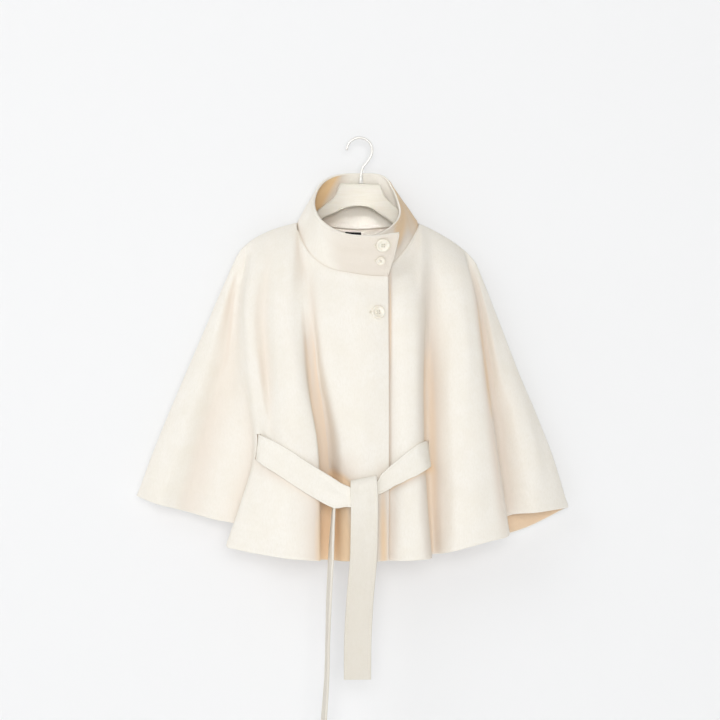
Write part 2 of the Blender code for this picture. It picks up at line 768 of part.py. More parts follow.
def make_hanger_body(collection, material):
    """A flat outline with rounded edges."""
    work = bmesh.new()
    verts = [work.verts.new(point * MM) for point in hanger_outline()]
    work.faces.new(verts)
    mesh = bpy.data.meshes.new("hanger_body")
    work.to_mesh(mesh)
    work.free()
    mesh.materials.append(material)
    body = bpy.data.objects.new("hanger_body", mesh)
    collection.objects.link(body)
    add_wall(body, HANGER_THICKNESS, 0)
    add_rounding(body, HANGER_ROUND, 2)
    return body


def make_hook(collection, material):
    """A wire bent round the point that holds it, then down to the hanger."""
    bend_centre = HOOK_WIRE / 2 - HOOK_BEND
    points = []
    angle = HOOK_BEND_FROM
    while angle >= HOOK_BEND_TO:
        turned = math.radians(angle)
        points.append((HOOK_BEND * math.cos(turned), bend_centre + HOOK_BEND * math.sin(turned)))
        angle -= HOOK_BEND_STEP
    route = [Vector((x, 0, z)) for x, z in [*points, *HOOK_SHANK]]
    count = (len(route) - 1) * HOOK_CUTS
    curve = bpy.data.curves.new("hanger_hook", "CURVE")
    curve.dimensions = "3D"
    curve.bevel_depth = HOOK_WIRE / 2 * MM
    curve.bevel_resolution = 2
    curve.use_fill_caps = True
    spline = curve.splines.new("POLY")
    spline.points.add(count)
    for step in range(count + 1):
        spline.points[step].co = (*(curve_point(route, step / HOOK_CUTS) * MM), 1.0)
    curve.materials.append(material)
    hook = bpy.data.objects.new("hanger_hook", curve)
    collection.objects.link(hook)
    return hook


def make_ferrule(collection, material):
    """The turned metal sleeve at the foot of the hook, bored for the wire."""
    shank_x = HOOK_SHANK[-1][0]
    bore = HOOK_WIRE / 2 + SEAM_GAP
    middle = (FERRULE_TOP + FERRULE_BOTTOM) / 2
    half = (FERRULE_TOP - FERRULE_BOTTOM) / 2
    profile = (
        (bore, half),
        (FERRULE_RADIUS - FERRULE_ROUND, half),
        (FERRULE_RADIUS, half - FERRULE_ROUND),
        (FERRULE_RADIUS, -half),
        (bore, -half),
    )
    mesh = bpy.data.meshes.new("hanger_ferrule")
    verts = [(radius * MM, 0, height * MM) for radius, height in profile]
    edges = [(i, (i + 1) % len(verts)) for i in range(len(verts))]
    mesh.from_pydata(verts, edges, [])
    mesh.materials.append(material)
    ferrule = bpy.data.objects.new("hanger_ferrule", mesh)
    collection.objects.link(ferrule)
    ferrule.location = (shank_x * MM, 0, middle * MM)
    screw = ferrule.modifiers.new("turned", "SCREW")
    screw.axis = "Z"
    screw.steps = FERRULE_SIDES
    screw.render_steps = FERRULE_SIDES
    screw.use_merge_vertices = True
    screw.merge_threshold = 0.00001
    return ferrule


def main():
    clear_scene()
    parts = make_collection("belted_cape_jacket")
    cutters = make_collection("cutters")
    wool = make_material("wool", WOOL)

    front_right = Panel(
        FRONT_RIGHT, front_right_edge, -1, (None, SEAM_FRONT_RIGHT), NECK_FRONT_RIGHT, SLIT_FRONT_RIGHT
    )
    front_left = Panel(
        FRONT_LEFT, front_left_edge, -1, (None, SEAM_FRONT_LEFT), NECK_FRONT_LEFT, SLIT_FRONT_LEFT
    )
    back = Panel(BACK, back_edge, 1, SEAMS_BACK, NECK_BACK, SLIT_FRONT_RIGHT)
    make_panel("front_right", front_right, parts, wool)
    make_panel("front_left", front_left, parts, wool)
    make_panel("back", back, parts, wool)
    make_collar(parts, wool)

    stretches = (
        ("belt_run_right", BELT_RUN_RIGHT),
        ("belt_run_left", BELT_RUN_LEFT),
        ("belt_back", BELT_BACK),
        ("belt_tail_front", BELT_TAIL_FRONT),
        ("belt_tail_side", BELT_TAIL_SIDE),
    )
    for name, table in stretches:
        make_band(name, table, parts, wool)

    plastic = make_material("button_plastic", BUTTON_PLASTIC)
    for name, piece, along, other, size in BUTTONS:
        if piece == "collar":
            centre, normal = collar_point(along, other), collar_normal(along, other)
        else:
            centre, normal = front_right.point(along, other), front_right.normal(along, other)
        lift = BUTTON_BACK * size / BUTTON_DIAMETER + SEAM_GAP
        place = facing_matrix(centre + normal * lift, normal)
        make_button(name, place, size, parts, cutters, plastic)

    make_label(back, parts, make_material("label", LABEL_BLACK))
    make_hanger_body(parts, make_material("hanger_paint", HANGER_PAINT))
    metal = make_material("hook_metal", HOOK_METAL)
    make_hook(parts, metal)
    make_ferrule(parts, metal)


main()
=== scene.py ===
"""Dressed view of a belted cape jacket on a broad flat hanger.

The tables are the ones that the solids were laid out with, in millimetres and in
the same frame: +Z up, +X to the viewer's right, the front faces -Y. Left and right
in the names of pieces are the wearer's. Every cloth piece is the same surface with
more points, its turned edges, seams and creases, and a thin shell's two faces.
"""
import math

import bpy
import numpy as np
from mathutils import Matrix, Vector, noise
from mathutils.bvhtree import BVHTree

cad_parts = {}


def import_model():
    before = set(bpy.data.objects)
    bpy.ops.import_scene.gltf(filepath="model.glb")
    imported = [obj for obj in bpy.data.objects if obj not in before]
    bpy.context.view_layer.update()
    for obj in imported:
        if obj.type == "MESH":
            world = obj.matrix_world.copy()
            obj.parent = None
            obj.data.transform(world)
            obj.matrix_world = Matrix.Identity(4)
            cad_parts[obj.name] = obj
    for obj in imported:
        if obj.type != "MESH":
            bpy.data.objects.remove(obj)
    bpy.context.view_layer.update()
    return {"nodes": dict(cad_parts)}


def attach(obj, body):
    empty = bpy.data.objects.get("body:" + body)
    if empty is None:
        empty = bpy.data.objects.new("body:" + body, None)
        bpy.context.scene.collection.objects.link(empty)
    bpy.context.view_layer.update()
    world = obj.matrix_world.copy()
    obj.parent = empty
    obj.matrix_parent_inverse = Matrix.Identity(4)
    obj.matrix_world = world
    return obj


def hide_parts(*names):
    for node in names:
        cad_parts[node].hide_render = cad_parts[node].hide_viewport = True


MM = 0.001

# Cloth and seams
CLOTH = 2.0
COLLAR_CLOTH = 4.6
LABEL_CLOTH = 0.8
SEAM_GAP = 0.3
COLLAR_GAP = 0.5
COLLAR_BULGE = 2.0

# Heights of the levels at which the fronts and the back are laid out
CHEST_Z = -282.0
WAIST_Z = -399.0
BELT_Z = -525.0

# Levels down a front or the back are 0 at the top edge, 1 at the shoulder roll,
# 2 at the yoke, 3 at the chest, 4 at the waist, 5 at the belt and 6 at the hem.
# Each front's belt slit is cut in the strip from this fold to the next
SLIT_FOLD = "slit_front"
# Levels of the top and the foot of each belt slit; the back's rows follow the first
SLIT_FRONT_RIGHT = (4.802, 5.113)
SLIT_FRONT_LEFT = (4.888, 5.166)

# A step along a surface for working out the way it faces
NORMAL_STEP = 0.02

# How the cloth turns over the hanger's shoulders
ROLL_DEPTH = 6.0
ROLL_RISE = 0.4
NECK_ROLL = 0.12
NECK_TURN = 1.3
SEAM_ROLL = 0.06
YOKE_FALL = 0.3
YOKE_DEPTH = 0.62
YOKE_CLEAR = 9.5
NOSE_DEPTH = 5.0
NOSE_OUT = 0.9
NOSE_RISE = 0.6

# Neck seam and collar rim, from the overlapping end, round the back, to the end
# underneath: name, base x, y, z, rim x, y, z
COLLAR = (
    ("over_end", 46.5, -76, -236, 64.5, -100, -167),
    ("over_mid", 17, -76, -235, 16, -101, -172),
    ("front", -16, -73, -230, -30, -90, -166),
    ("front_left", -48, -66, -223, -64, -60, -144),
    ("left_front", -73, -54, -208, -77, -36, -121),
    ("left_mid", -94, -31, -182, -78, -14, -101),
    ("neck_left", -106, 0, -143, -66, 5, -74),
    ("back_left_side", -93, 13, -142, -51, 15, -64),
    ("back_left", -54, 21, -147, -30, 20, -59),
    ("back", -3, 24, -151, 1, 22, -58),
    ("back_right", 47, 21, -148, 30, 20, -59),
    ("back_right_side", 87, 13, -143, 46, 14, -65),
    ("neck_right", 100, 0, -144, 57, 1, -83),
    ("right_mid", 91, -27, -169, 66, -12, -105),
    ("right_front", 71, -48, -198, 70, -28, -126),
    ("right_over", 48, -60, -219, 63, -48, -144),
    ("under_mid", 18, -64, -229, 36, -66, -165),
    ("under_end", -16, -64, -232, 1, -78, -178),
)
NECK_LEFT = 6
NECK_RIGHT = 12
NECK_LAST = len(COLLAR) - 1
# The collar bulges away from this line through the neck
COLLAR_MIDDLE_Y = -38.0

# Shoulder seams, from the neck to the tip: x, y, z
SHOULDER_LEFT_SIDE = (
    (-106, 0, -143),
    (-144, 0, -154),
    (-178, 0, -170),
    (-198, 0, -186),
    (-206, 0, -196),
)
SHOULDER_RIGHT_SIDE = (
    (100, 0, -144),
    (132, 0, -160),
    (162, 0, -178),
    (184, 0, -196),
    (197, 0, -211),
)

# Over-arm seams below the shoulder tips: x, y at chest, waist and belt, hem x, y, z
SEAM_LEFT_SIDE = (-244, 4, -294, 5, -347, 6, -377, 8, -606)
SEAM_RIGHT_SIDE = (225, 4, 270, 5, 322, 6, 354, 8, -625)

# Each piece's over-arm seams: their line, the place where they meet the top edge, the
# place of the rounded nose beside them and the nose's mesh columns to the next fold
SEAM_FRONT_RIGHT = (SEAM_LEFT_SIDE, 10.0, 9.85, 1)
SEAM_FRONT_LEFT = (SEAM_RIGHT_SIDE, 9.0, 8.85, 1)
SEAMS_BACK = ((SEAM_LEFT_SIDE, -4.0, -3.85, 2), (SEAM_RIGHT_SIDE, 10.0, 9.85, 1))
# The places between which each piece's top edge is the neck seam. A front's starts
# long before its own edge, so that it doesn't turn into a shoulder there.
NECK_FRONT_RIGHT = (-9, NECK_LEFT)
NECK_FRONT_LEFT = (-9, NECK_LAST - NECK_RIGHT)
NECK_BACK = (0, NECK_RIGHT - NECK_LEFT)

# Folds of the right front, from the closure to the over-arm seam: name, place on
# the top edge, mesh columns to the next fold, chest x, y, waist x, y, belt x, y,
# hem x, y, z. The top edge counts the neck seam's rows and then the shoulder's.
FRONT_RIGHT = (
    ("front_edge", 0.0, 2, 47, -84, 48, -90, 48, -92, 47, -95, -707),
    ("placket", 1.0, 3, 19, -88, 21, -94, 21, -95, 19, -98, -708),
    ("panel", 2.3, 4, -22, -85, -16, -92, -6, -94, -9, -96, -708),
    ("panel_side", 4.1, 3, -69, -76, -54, -83, -30, -84, -29, -82, -709),
    ("valley_3", 4.8, 2, -81, -67, -68, -58, -52, -49, -46, -43, -711),
    ("fold_3", 5.1, 2, -92, -67, -82, -63, -76, -64, -73, -66, -708),
    ("ridge_3_in", 5.5, 2, -101, -69, -89, -82, -69, -91, -65, -96, -707),
    ("ridge_3", 6.0, 2, -116, -71, -107, -89, -96, -96, -91, -103, -705),
    ("ridge_3_out", 6.6, 2, -140, -61, -134, -71, -124, -92, -120, -98, -703),
    ("valley_2", 7.0, 2, -161, -43, -155, -48, -143, -82, -148, -92, -699),
    ("ridge_2_in", 7.35, 2, -176, -45, -168, -55, -154, -75, -175, -86, -695),
    ("slit_front", 7.65, 1, -185, -45, -178, -54, -164.5, -64, -206, -78, -689),
    ("slit_side", 7.95, 3, -193, -38, -186, -48, -173.5, -56, -222, -64, -685),
    ("flank_2", 8.3, 3, -200, -23, -196, -32, -182, -36, -203, -36, -655),
    ("flank_1", 8.7, 3, -208, -11, -209, -17, -220, -21, -249, -22, -643),
    ("valley_1", 9.15, 2, -217, -7, -234, -6, -268, -7, -295, -8, -631),
    ("ridge_1", 9.6, 3, -231, -13, -265, -19, -311, -23, -341, -23, -618),
)

# Folds of the left front, from its hidden edge under the closure to the seam
FRONT_LEFT = (
    ("under_edge", 0.0, 2, -12, -70, -12, -76, -12, -79, -12, -81, -705),
    ("under_mid", 1.0, 2, 21, -75, 21, -81, 21, -83, 21, -85, -707),
    ("gap", 2.0, 2, 52, -79.5, 52, -84.5, 52, -86.5, 53, -89.5, -707),
    ("ridge_4", 3.1, 2, 74, -84, 75, -91, 79, -94, 83, -101, -706),
    ("ridge_4_out", 4.2, 2, 96, -78, 96, -88, 98.5, -90, 110, -99, -704),
    ("fold_4", 5.1, 2, 107, -68, 106, -73, 107.5, -77, 120, -84, -704),
    ("slit_front", 5.4, 1, 112, -60, 107, -53, 109, -59, 116, -64, -703),
    ("slit_side", 5.6, 2, 119, -54, 115.5, -43, 116.8, -50, 124, -50, -700),
    ("bank_4", 5.8, 2, 129, -53, 131, -51, 136, -59, 139, -66, -697),
    ("ridge_5", 6.2, 2, 147, -57, 154, -67, 160, -76, 163, -86, -690),
    ("ridge_5_out", 6.9, 2, 179, -54, 191, -66, 205, -74, 215, -84, -676),
    ("fold_5_front", 7.55, 2, 199, -40, 213, -50, 231, -57, 250, -65, -667),
    ("fold_5_back", 7.85, 2, 191, -21, 204, -25, 220, -29, 238, -34, -648),
    ("valley_5", 8.1, 2, 204, -11, 223, -13, 240, -15, 254, -18, -637),
    ("outer", 8.35, 2, 213, -13, 241, -19, 275, -25, 298, -28, -632),
    ("outer_side", 8.65, 3, 219, -9, 256, -13, 302, -17, 330, -17, -628),
)

# Soft flutes of the back, from the over-arm seam at negative X to the other. The
# top edge counts from the first shoulder tip (-4) over the neck (0 to 6) to the
# second tip (10).
BACK = (
    ("flute_1", -3.2, 2, -206, 15, -241, 18, -280, 21, -301, 23, -630),
    ("dip_1", -2.2, 2, -172, 18, -196, 18, -222, 16, -237, 14, -642),
    ("flute_2", -1.1, 2, -136, 22, -152, 25, -169, 29, -177, 33, -664),
    ("dip_2", 0.0, 3, -97, 21, -103, 20, -109, 17, -113, 15, -682),
    ("flute_3", 1.6, 3, -47, 25, -51, 27, -55, 31, -57, 34, -693),
    ("dip_3", 3.0, 3, -3, 24, -3, 22, -2, 18, -1, 16, -698),
    ("flute_4", 4.4, 3, 41, 25, 45, 27, 51, 31, 54, 34, -697),
    ("dip_4", 6.0, 2, 90, 21, 97, 20, 105, 17, 110, 15, -692),
    ("flute_5", 7.1, 2, 124, 22, 142, 25, 159, 29, 169, 33, -685),
    ("dip_5", 8.2, 2, 160, 18, 184, 18, 210, 16, 226, 14, -677),
    ("flute_6", 9.2, 2, 194, 14, 226, 17, 263, 20, 285, 22, -661),
)

# Stretches of the belt along their middle: x, y, z, width, tilt and yaw of the
# width in degrees. Tilt lifts it from +X towards +Z, yaw turns it towards -Y.
BELT_RUN_RIGHT = (
    (-166, -51, -520.5, 41, 86, 0),
    (-169, -61.5, -520.5, 41, 86, 0),
    (-167.8, -71.5, -521.5, 42, 82, 0),
    (-160, -81.5, -525.5, 43, 75, 0),
    (-147.5, -88.7, -532, 45, 67, 0),
    (-128, -96.6, -543, 45, 60, 0),
    (-103, -101.8, -559.5, 45, 58.5, 0),
    (-65, -105, -583, 45, 58.5, 0),
    (-32, -107.6, -601, 43, 60, 0),
    (-14, -108.8, -603, 33, 66, 0),
    (10, -108.9, -605, 26, 80, 0),
)
BELT_RUN_LEFT = (
    (111, -48, -531, 41, 96, 0),
    (114.6, -57.5, -531, 41, 97, 0),
    (114.4, -68, -531.5, 42, 99, 0),
    (111.8, -81.5, -532.5, 44, 102, 0),
    (103, -93.8, -536.5, 45, 108, 0),
    (88, -98.8, -546.5, 42, 117, 0),
    (67, -101.5, -560, 35.5, 122, 0),
    (46, -103.2, -574, 29, 122, 0),
    (31, -104.8, -586.5, 21, 114, 0),
    (8, -104.8, -593, 20, 104, 0),
)
BELT_BACK = (
    (-165.9, -50.6, -520.5, 41, 86, 0),
    (-158, -33, -524, 43, 90, 0),
    (-146, -13, -531, 44, 90, 0),
    (-116, 1, -539, 45, 90, 0),
    (-60, 6, -547, 45, 90, 0),
    (0, 7, -550, 45, 90, 0),
    (56, 6, -549, 45, 90, 0),
    (96, -2, -544, 45, 90, 0),
    (109, -18, -538, 44, 90, 0),
    (111.5, -34, -533, 42, 92, 0),
    (110.9, -47.6, -531, 41, 96, 0),
)
BELT_TAIL_FRONT = (
    (7, -100, -612, 34, 4, 0),
    (7, -100, -590, 40, 8, 0),
    (7, -101.1, -577, 43, 11, 0),
    (7, -106.5, -571.6, 44, 11, 0),
    (7, -111.9, -577, 44.5, 11, 0),
    (7.5, -113.2, -590, 45, 6, 0),
    (8.4, -113.4, -612, 45, 0, 0),
    (8, -112, -650, 45, 0, 2),
    (6.4, -110.5, -705, 45, 0, 5),
    (0.8, -108.5, -771, 45, 0, 4),
    (-2.7, -107, -837, 45, 0, 1),
    (-3.3, -106, -902, 45, 0, -2),
)
BELT_TAIL_SIDE = (
    (-41.5, -91.2, -600, 26, 0, 86),
    (-42.5, -91.5, -620, 27, 0, 85),
    (-44, -94.5, -642, 37, 0, 84),
    (-45.5, -97, -668, 43, 0, 83),
    (-47, -98, -703, 45, 0, 81),
    (-50.3, -98.5, -769, 45, 0, 82),
    (-52.5, -98.5, -840, 45, 0, 84),
    (-54, -98, -901, 45, 0, 83),
    (-58.5, -97.5, -967, 45, 0, 81),
    (-61, -97, -1013, 45, 0, 80),
)
BELT_STRETCHES = (
    ("belt_run_right", BELT_RUN_RIGHT),
    ("belt_run_left", BELT_RUN_LEFT),
    ("belt_back", BELT_BACK),
    ("belt_tail_front", BELT_TAIL_FRONT),
    ("belt_tail_side", BELT_TAIL_SIDE),
)

# Buttons: name, piece, place along it, place up or down it, diameter
BUTTONS = (
    ("button_collar_top", "collar", 0.5, 0.76, 23.0),
    ("button_collar_low", "collar", 0.52, 0.37, 15.0),
    ("button_front", "front_right", 0.6, 3.16, 23.0),
)
BUTTON_DIAMETER = 23.0
# Half of a button's section, from the middle of its face to that of its back: radius,
# height
BUTTON_PROFILE = (
    (0.0, 1.1),
    (6.3, 0.9),
    (8.3, 1.8),
    (10.3, 1.8),
    (11.5, 0.7),
    (11.2, -0.8),
    (9.4, -1.6),
    (0.0, -1.7),
)
BUTTON_BACK = 1.7
BUTTON_SIDES = 72
BUTTON_PROFILE_STEPS = 6
BUTTON_HOLE_SPACING = 2.6
BUTTON_HOLE_RADIUS = 0.95
BUTTON_HOLE_SIDES = 20
# A countersunk hole, from the back to the face: height, width as a share of the radius
BUTTON_HOLE_PROFILE = ((-4, 1), (-1, 1), (0.35, 1), (0.9, 1.25), (1.6, 1.7), (4, 1.7))
# A button's sewing thread: its radius, sides, steps and strands aside, then its height
# at the holes, its arch between them, the second pull's height over the first, and the
# place from which it dips into the holes and how steeply
BUTTON_THREAD = 0.24
BUTTON_THREAD_SIDES = 8
BUTTON_THREAD_STEPS = 13
BUTTON_STRANDS = (-0.32, 0.0, 0.32)
THREAD_LOW = 1.25
THREAD_ARCH = 0.42
THREAD_CROSSED = 0.16
THREAD_DIP = 0.84
THREAD_FALL = 16
# Half the side of a square as a share of half its diagonal
DIAGONAL = 0.7071

# Blank neck label: places along and down the back piece
LABEL_ALONG = (6.7, 7.08)
LABEL_DOWN = (0.45, 1.25)
LABEL_STEPS = 24

# Hook: its wire, the radius of its bend and the bend's angles in degrees
HOOK_WIRE = 4.4
HOOK_BEND = 21.6
HOOK_BEND_FROM = 180
HOOK_BEND_TO = -25
HOOK_BEND_STEP = 12
HOOK_STEPS = 6
# The wire below its bend, down to the hanger: x, z
HOOK_SHANK = ((14.6, -37), (8, -45), (4, -53), (2.6, -61), (2.6, -75.3))
# The hook's rounded tip: distance past the wire's end, width as a share of the wire's
HOOK_TIP = ((-0.2, 0.45), (-0.7, 0.8), (-1.3, 0.97))
WIRE_SIDES = 28
# Ferrule, with its section down from its top and up to its foot: in from the radius,
# distance from the end
FERRULE_RADIUS = 3.6
FERRULE_TOP = -61.5
FERRULE_BOTTOM = -75.6
FERRULE_SIDES = 48
FERRULE_UPPER = ((0.7, 0), (0.2, 0.25), (0, 0.8), (0, 2.0), (0.3, 2.3))
FERRULE_LOWER = ((0.3, 2.3), (0, 2.0), (0, 0))
FERRULE_BORE_ROUND = 0.1

# Mesh steps of the dressed pieces
STATION_STEPS = 10
BACK_STATION_STEPS = 14
NARROW_STEPS = 4
# Rows between the top edge, roll, yoke, chest, waist, slit top, slit foot and hem
PANEL_ROW_STEPS = (5, 8, 26, 30, 26, 12, 42)
COLLAR_STEPS = 11
COLLAR_UP_STEPS = 34
RIM_STEPS = 6

# Cloth thickness of the dressed shells
PANEL_THICK = 2.0
EDGE_THICK = 3.0
BELT_THICK = 3.4
ALLOWANCE_THICK = 1.0
# Distances in mm from the hem and the front edge over which the turned cloth thins out
HEM_TURN = (3, 12)
FRONT_TURN = (4, 16)

# Ridges and grooves beside an edge: height, distance in from the edge, width, in mm.
# A turned hem swells a little and its upper edge shows as a faint line. An over-arm
# seam pulls in beside its ridge.
HEM_RELIEF = ((0.45, 4, 5.0), (-0.4, 36, 2.6))
TOP_RELIEF = ((-0.9, 0, 2.2), (0.5, 6, 3.0))
SEAM_RELIEF = ((-0.5, 0, 1.6), (0.45, 5, 2.5))
COLLAR_STITCH_IN = 6.5
COLLAR_EDGE_RELIEF = ((0.75, 3.0, 2.4), (-0.55, COLLAR_STITCH_IN, 1.0))
COLLAR_BASE_RELIEF = ((-0.8, 0, 2.0), (0.6, 6.0, 3.0))
BELT_STITCH_IN = 4.0
BELT_EDGE_RELIEF = ((0.35, 2.0, 1.4), (-0.4, BELT_STITCH_IN, 0.8))
# The collar's neck edge tucks in over this distance from its base
COLLAR_TUCK = (0, 3.0)
# How deep a button presses into the cloth, how wide as a share of its radius, and the
# ridge round it: height as a share of the depth, radius as one of the button's, width
SEAT_DEPTH = 0.9
SEAT_WIDTH = 0.8
SEAT_RIDGE = 0.9
SEAT_RIDGE_OUT = 1.25
SEAT_RIDGE_WIDTH = 2.6
# The end of a belt stretch rounds off: share of the section left, how far out in mm
BELT_END_SHARE = 0.97
BELT_END_OUT = 0.5
# Unevenness of the cloth: height, size, shift of the noise, and the panels' stretch of
# it along x, y and z
PANEL_WAVES = ((0.55, 46, 0.0, (1, 0.4, 0.55)), (0.16, 17, 9.7, (1, 1, 1)))
COLLAR_WAVES = (0.4, 34, 3.1)
BELT_WAVES = (0.3, 26, 5.3)
# A panel's relief fades over this distance from the top edge, where this share of it is
# kept, and it is gone round the belt slits
TOP_FADE = (0, 14)
TOP_KEPT = 0.25
SLIT_FLAT = (20, 44)
# How far a crease bends as a share of its length, the share of z that with x says to
# which side, and how softly it ends
CREASE_BEND = 0.06
CREASE_SIDE = 0.37
CREASE_ENDS = 0.8

# Creases of the fronts, as seen from the front: x, z to x, z, half width, height.
# A ridge is positive and a valley negative.
CREASES_FRONT_RIGHT = (
    (-196, -250, -214, -470, 9, -1.6),
    (-170, -210, -180, -330, 10, 1.4),
    (-152, -230, -158, -420, 12, -1.4),
    (-118, -200, -114, -400, 12, 1.5),
    (-66, -262, -62, -350, 6, 1.2),
    (-62, -340, -56, -450, 6, 1.4),
    (-80, -300, -66, -500, 8, -1.6),
    (-40, -250, -20, -330, 16, -0.9),
    (8, -260, 14, -360, 15, 0.8),
    (-30, -420, -8, -560, 13, -1.3),
    (10, -440, 20, -570, 10, 1.1),
    (-158, -480, -120, -512, 7, -1.4),
    (-150, -470, -96, -512, 8, 1.2),
    (-58, -520, -20, -575, 7, 1.5),
    (-40, -505, 5, -560, 8, -1.2),
    (-176, -560, -196, -640, 10, 1.3),
    (-150, -560, -160, -680, 12, -1.4),
    (-110, -570, -112, -690, 12, 1.5),
    (-262, -420, -300, -600, 14, 1.5),
    (-232, -380, -262, -600, 12, -1.3),
    (-292, -430, -330, -600, 8, -1.0),
)
CREASES_FRONT_LEFT = (
    (62, -260, 66, -420, 8, 1.0),
    (86, -230, 88, -420, 10, 1.4),
    (100, -262, 104, -500, 4, 1.0),
    (128, -220, 134, -420, 10, -1.8),
    (158, -230, 172, -500, 10, 1.5),
    (186, -250, 206, -520, 8, -0.9),
    (204, -272, 232, -520, 5, 1.4),
    (228, -320, 244, -560, 8, -1.6),
    (258, -400, 300, -600, 11, 1.5),
    (286, -460, 322, -610, 8, -1.0),
    (64, -505, 96, -500, 8, 1.3),
    (74, -590, 78, -690, 10, 1.2),
    (60, -580, 60, -690, 6, -1.0),
    (104, -566, 108, -690, 5, 1.1),
    (150, -560, 150, -680, 12, -1.4),
    (196, -560, 206, -670, 13, 1.2),
    (94, -570, 116, -556, 7, -1.0),
)
CREASES_BACK = (
    (-210, -260, -262, -600, 12, 1.7),
    (-176, -240, -214, -620, 12, -1.6),
    (-140, -230, -168, -640, 11, 1.4),
    (-104, -220, -108, -500, 12, -1.5),
    (-62, -240, -70, -660, 12, 1.5),
    (-24, -230, -26, -520, 11, -1.2),
    (12, -260, 14, -670, 12, 1.3),
    (64, -240, 74, -560, 11, -1.6),
    (96, -260, 108, -670, 12, 1.4),
    (142, -230, 162, -560, 11, -1.5),
    (176, -250, 214, -640, 12, 1.6),
    (222, -330, 262, -610, 11, -1.4),
    (-70, -168, -10, -178, 7, -0.8),
    (6, -176, 66, -168, 7, -0.8),
    (-44, -190, 40, -194, 9, 0.7),
)
# Strokes of painted shade, warm where the belt and the folds keep the light in, as seen from
# the front: x, z to x, z, half width, how much
PAINTED_SHADE_FRONT_RIGHT = (
    (-42, -528, -38, -850, 36, 1.2),
    (38, -540, 42, -820, 10, 0.8),
    (-82, -222, -68, -430, 8, 0.35),
    (-190, -536, -50, -606, 13, 0.4),
    (-60, -560, 10, -600, 10, 0.5),
)
PAINTED_SHADE_FRONT_LEFT = (
    (50, -560, 51, -800, 11, 0.5),
    (14, -601, 126, -551, 9, 0.7),
    (115, -205, 128, -830, 17, 0.62),
    (51, -170, 51, -450, 3.0, 0.75),
    (190, -215, 224, -480, 6, 0.7),
    (208, -370, 248, -700, 10, 0.5),
)
# Where the fold below the corner of the neck and the shoulder seam starts
CORNER_FRONT_RIGHT = (-110, -28, -180)
CORNER_FRONT_LEFT = (102, -28, -180)
# Distances from that place and from the top edge over which the fold is softened, the
# points to each side that soften it, and how fast their weights fall
CORNER_RANGE = (30, 90)
CORNER_EDGE = (2, 14)
CORNER_BLUR = 14
BLUR_FALL = 1.8
# Creases of the collar: place along, place up, to place along, place up, half width
# in mm, height
CREASES_COLLAR = (
    (0.35, 0.46, 3.3, 0.36, 11, -2.6),
    (0.1, 0.13, 3.9, 0.12, 8, 1.1),
    (3.6, 0.75, 4.6, 0.25, 7, -1.1),
    (4.9, 0.8, 5.6, 0.3, 8, 1.0),
    (6.8, 0.7, 8.2, 0.55, 9, -0.9),
    (8.4, 0.35, 10.2, 0.4, 10, 0.9),
    (10.6, 0.7, 11.9, 0.5, 9, -1.0),
    (12.5, 0.75, 13.6, 0.3, 9, 0.5),
    (14.0, 0.6, 15.4, 0.4, 8, -1.1),
)
# Creases of the belt's stretches: place along, place across (-1 to 1), to place
# along, place across, half width in mm, height
CREASES_BELT = {
    "belt_run_right": (
        (6.3, 0.6, 8.8, 0.1, 4, -0.9),
        (6.9, -0.2, 9.2, -0.2, 4, 0.9),
        (7.4, -0.8, 9.4, -0.6, 3.5, -0.8),
        (3.2, 0.3, 5.6, -0.1, 6, -0.5),
        (1.6, -0.5, 2.6, 0.5, 4, 0.5),
    ),
    "belt_run_left": (
        (4.6, 0.5, 7.6, 0.3, 4, -0.8),
        (5.2, -0.3, 8.0, -0.2, 4, 0.8),
        (2.6, -0.6, 4.2, 0.4, 6, -0.6),
    ),
    "belt_back": (
        (1.2, 0.4, 3.2, -0.3, 6, -0.6),
        (4.2, -0.3, 5.8, 0.3, 7, 0.5),
        (6.9, 0.3, 8.8, -0.2, 6, -0.6),
    ),
    "belt_tail_front": (
        (3.6, -0.5, 5.6, -0.6, 3.5, -0.7),
        (3.8, 0.2, 6.4, 0.05, 4.5, 0.7),
        (4.6, 0.65, 7.2, 0.5, 4, -0.5),
        (6.6, -0.4, 8.4, 0.3, 6, -0.6),
        (8.6, 0.4, 10.2, -0.3, 6, 0.6),
    ),
    "belt_tail_side": (
        (2.4, 0.4, 4.6, 0.1, 4, -0.6),
        (4.6, -0.4, 7.0, 0.2, 6, 0.6),
        (7.2, 0.3, 8.7, -0.3, 5, -0.5),
    ),
}
BELT_STEPS = 12
BELT_ACROSS = 18
BELT_EDGE_ROUND = 1.2
BELT_EDGE_STEPS = 6
# Half the width that the belt's creases count across, in mm
BELT_HALF = 20

# Thread and stitches
THREAD_RADIUS = 0.26
STITCH_PITCH = 4.2
STITCH_LENGTH = 3.0
STITCH_START = 0.15
STITCH_SIDES = 5
# One stitch: share of its length, height in mm, width as a share of the thread's
STITCH_PROFILE = ((0.0, -0.3, 0.6), (0.2, 0.1, 1.0), (0.5, 0.2, 1.1), (0.8, 0.1, 1.0), (1.0, -0.3, 0.6))
# Buttonhole stitches: they start this far along from the button's middle and end this
# far past its rim. A stitch on a lip and one round the end: distance out, height, radius.
HOLE_START = -2.5
HOLE_PAST = 1.6
HOLE_TURN_STEP = 30
HOLE_STITCH_PITCH = 0.62
HOLE_STITCH_SIDES = 6
LIP_STITCH = ((0.1, -0.5, 0.26), (0.35, 0.35, 0.33), (1.1, 0.5, 0.34), (1.9, 0.35, 0.33), (2.2, -0.3, 0.26))
END_STITCH = ((0.1, -0.5, 0.28), (0.4, 0.35, 0.34), (1.2, 0.5, 0.34), (2.0, -0.2, 0.28))
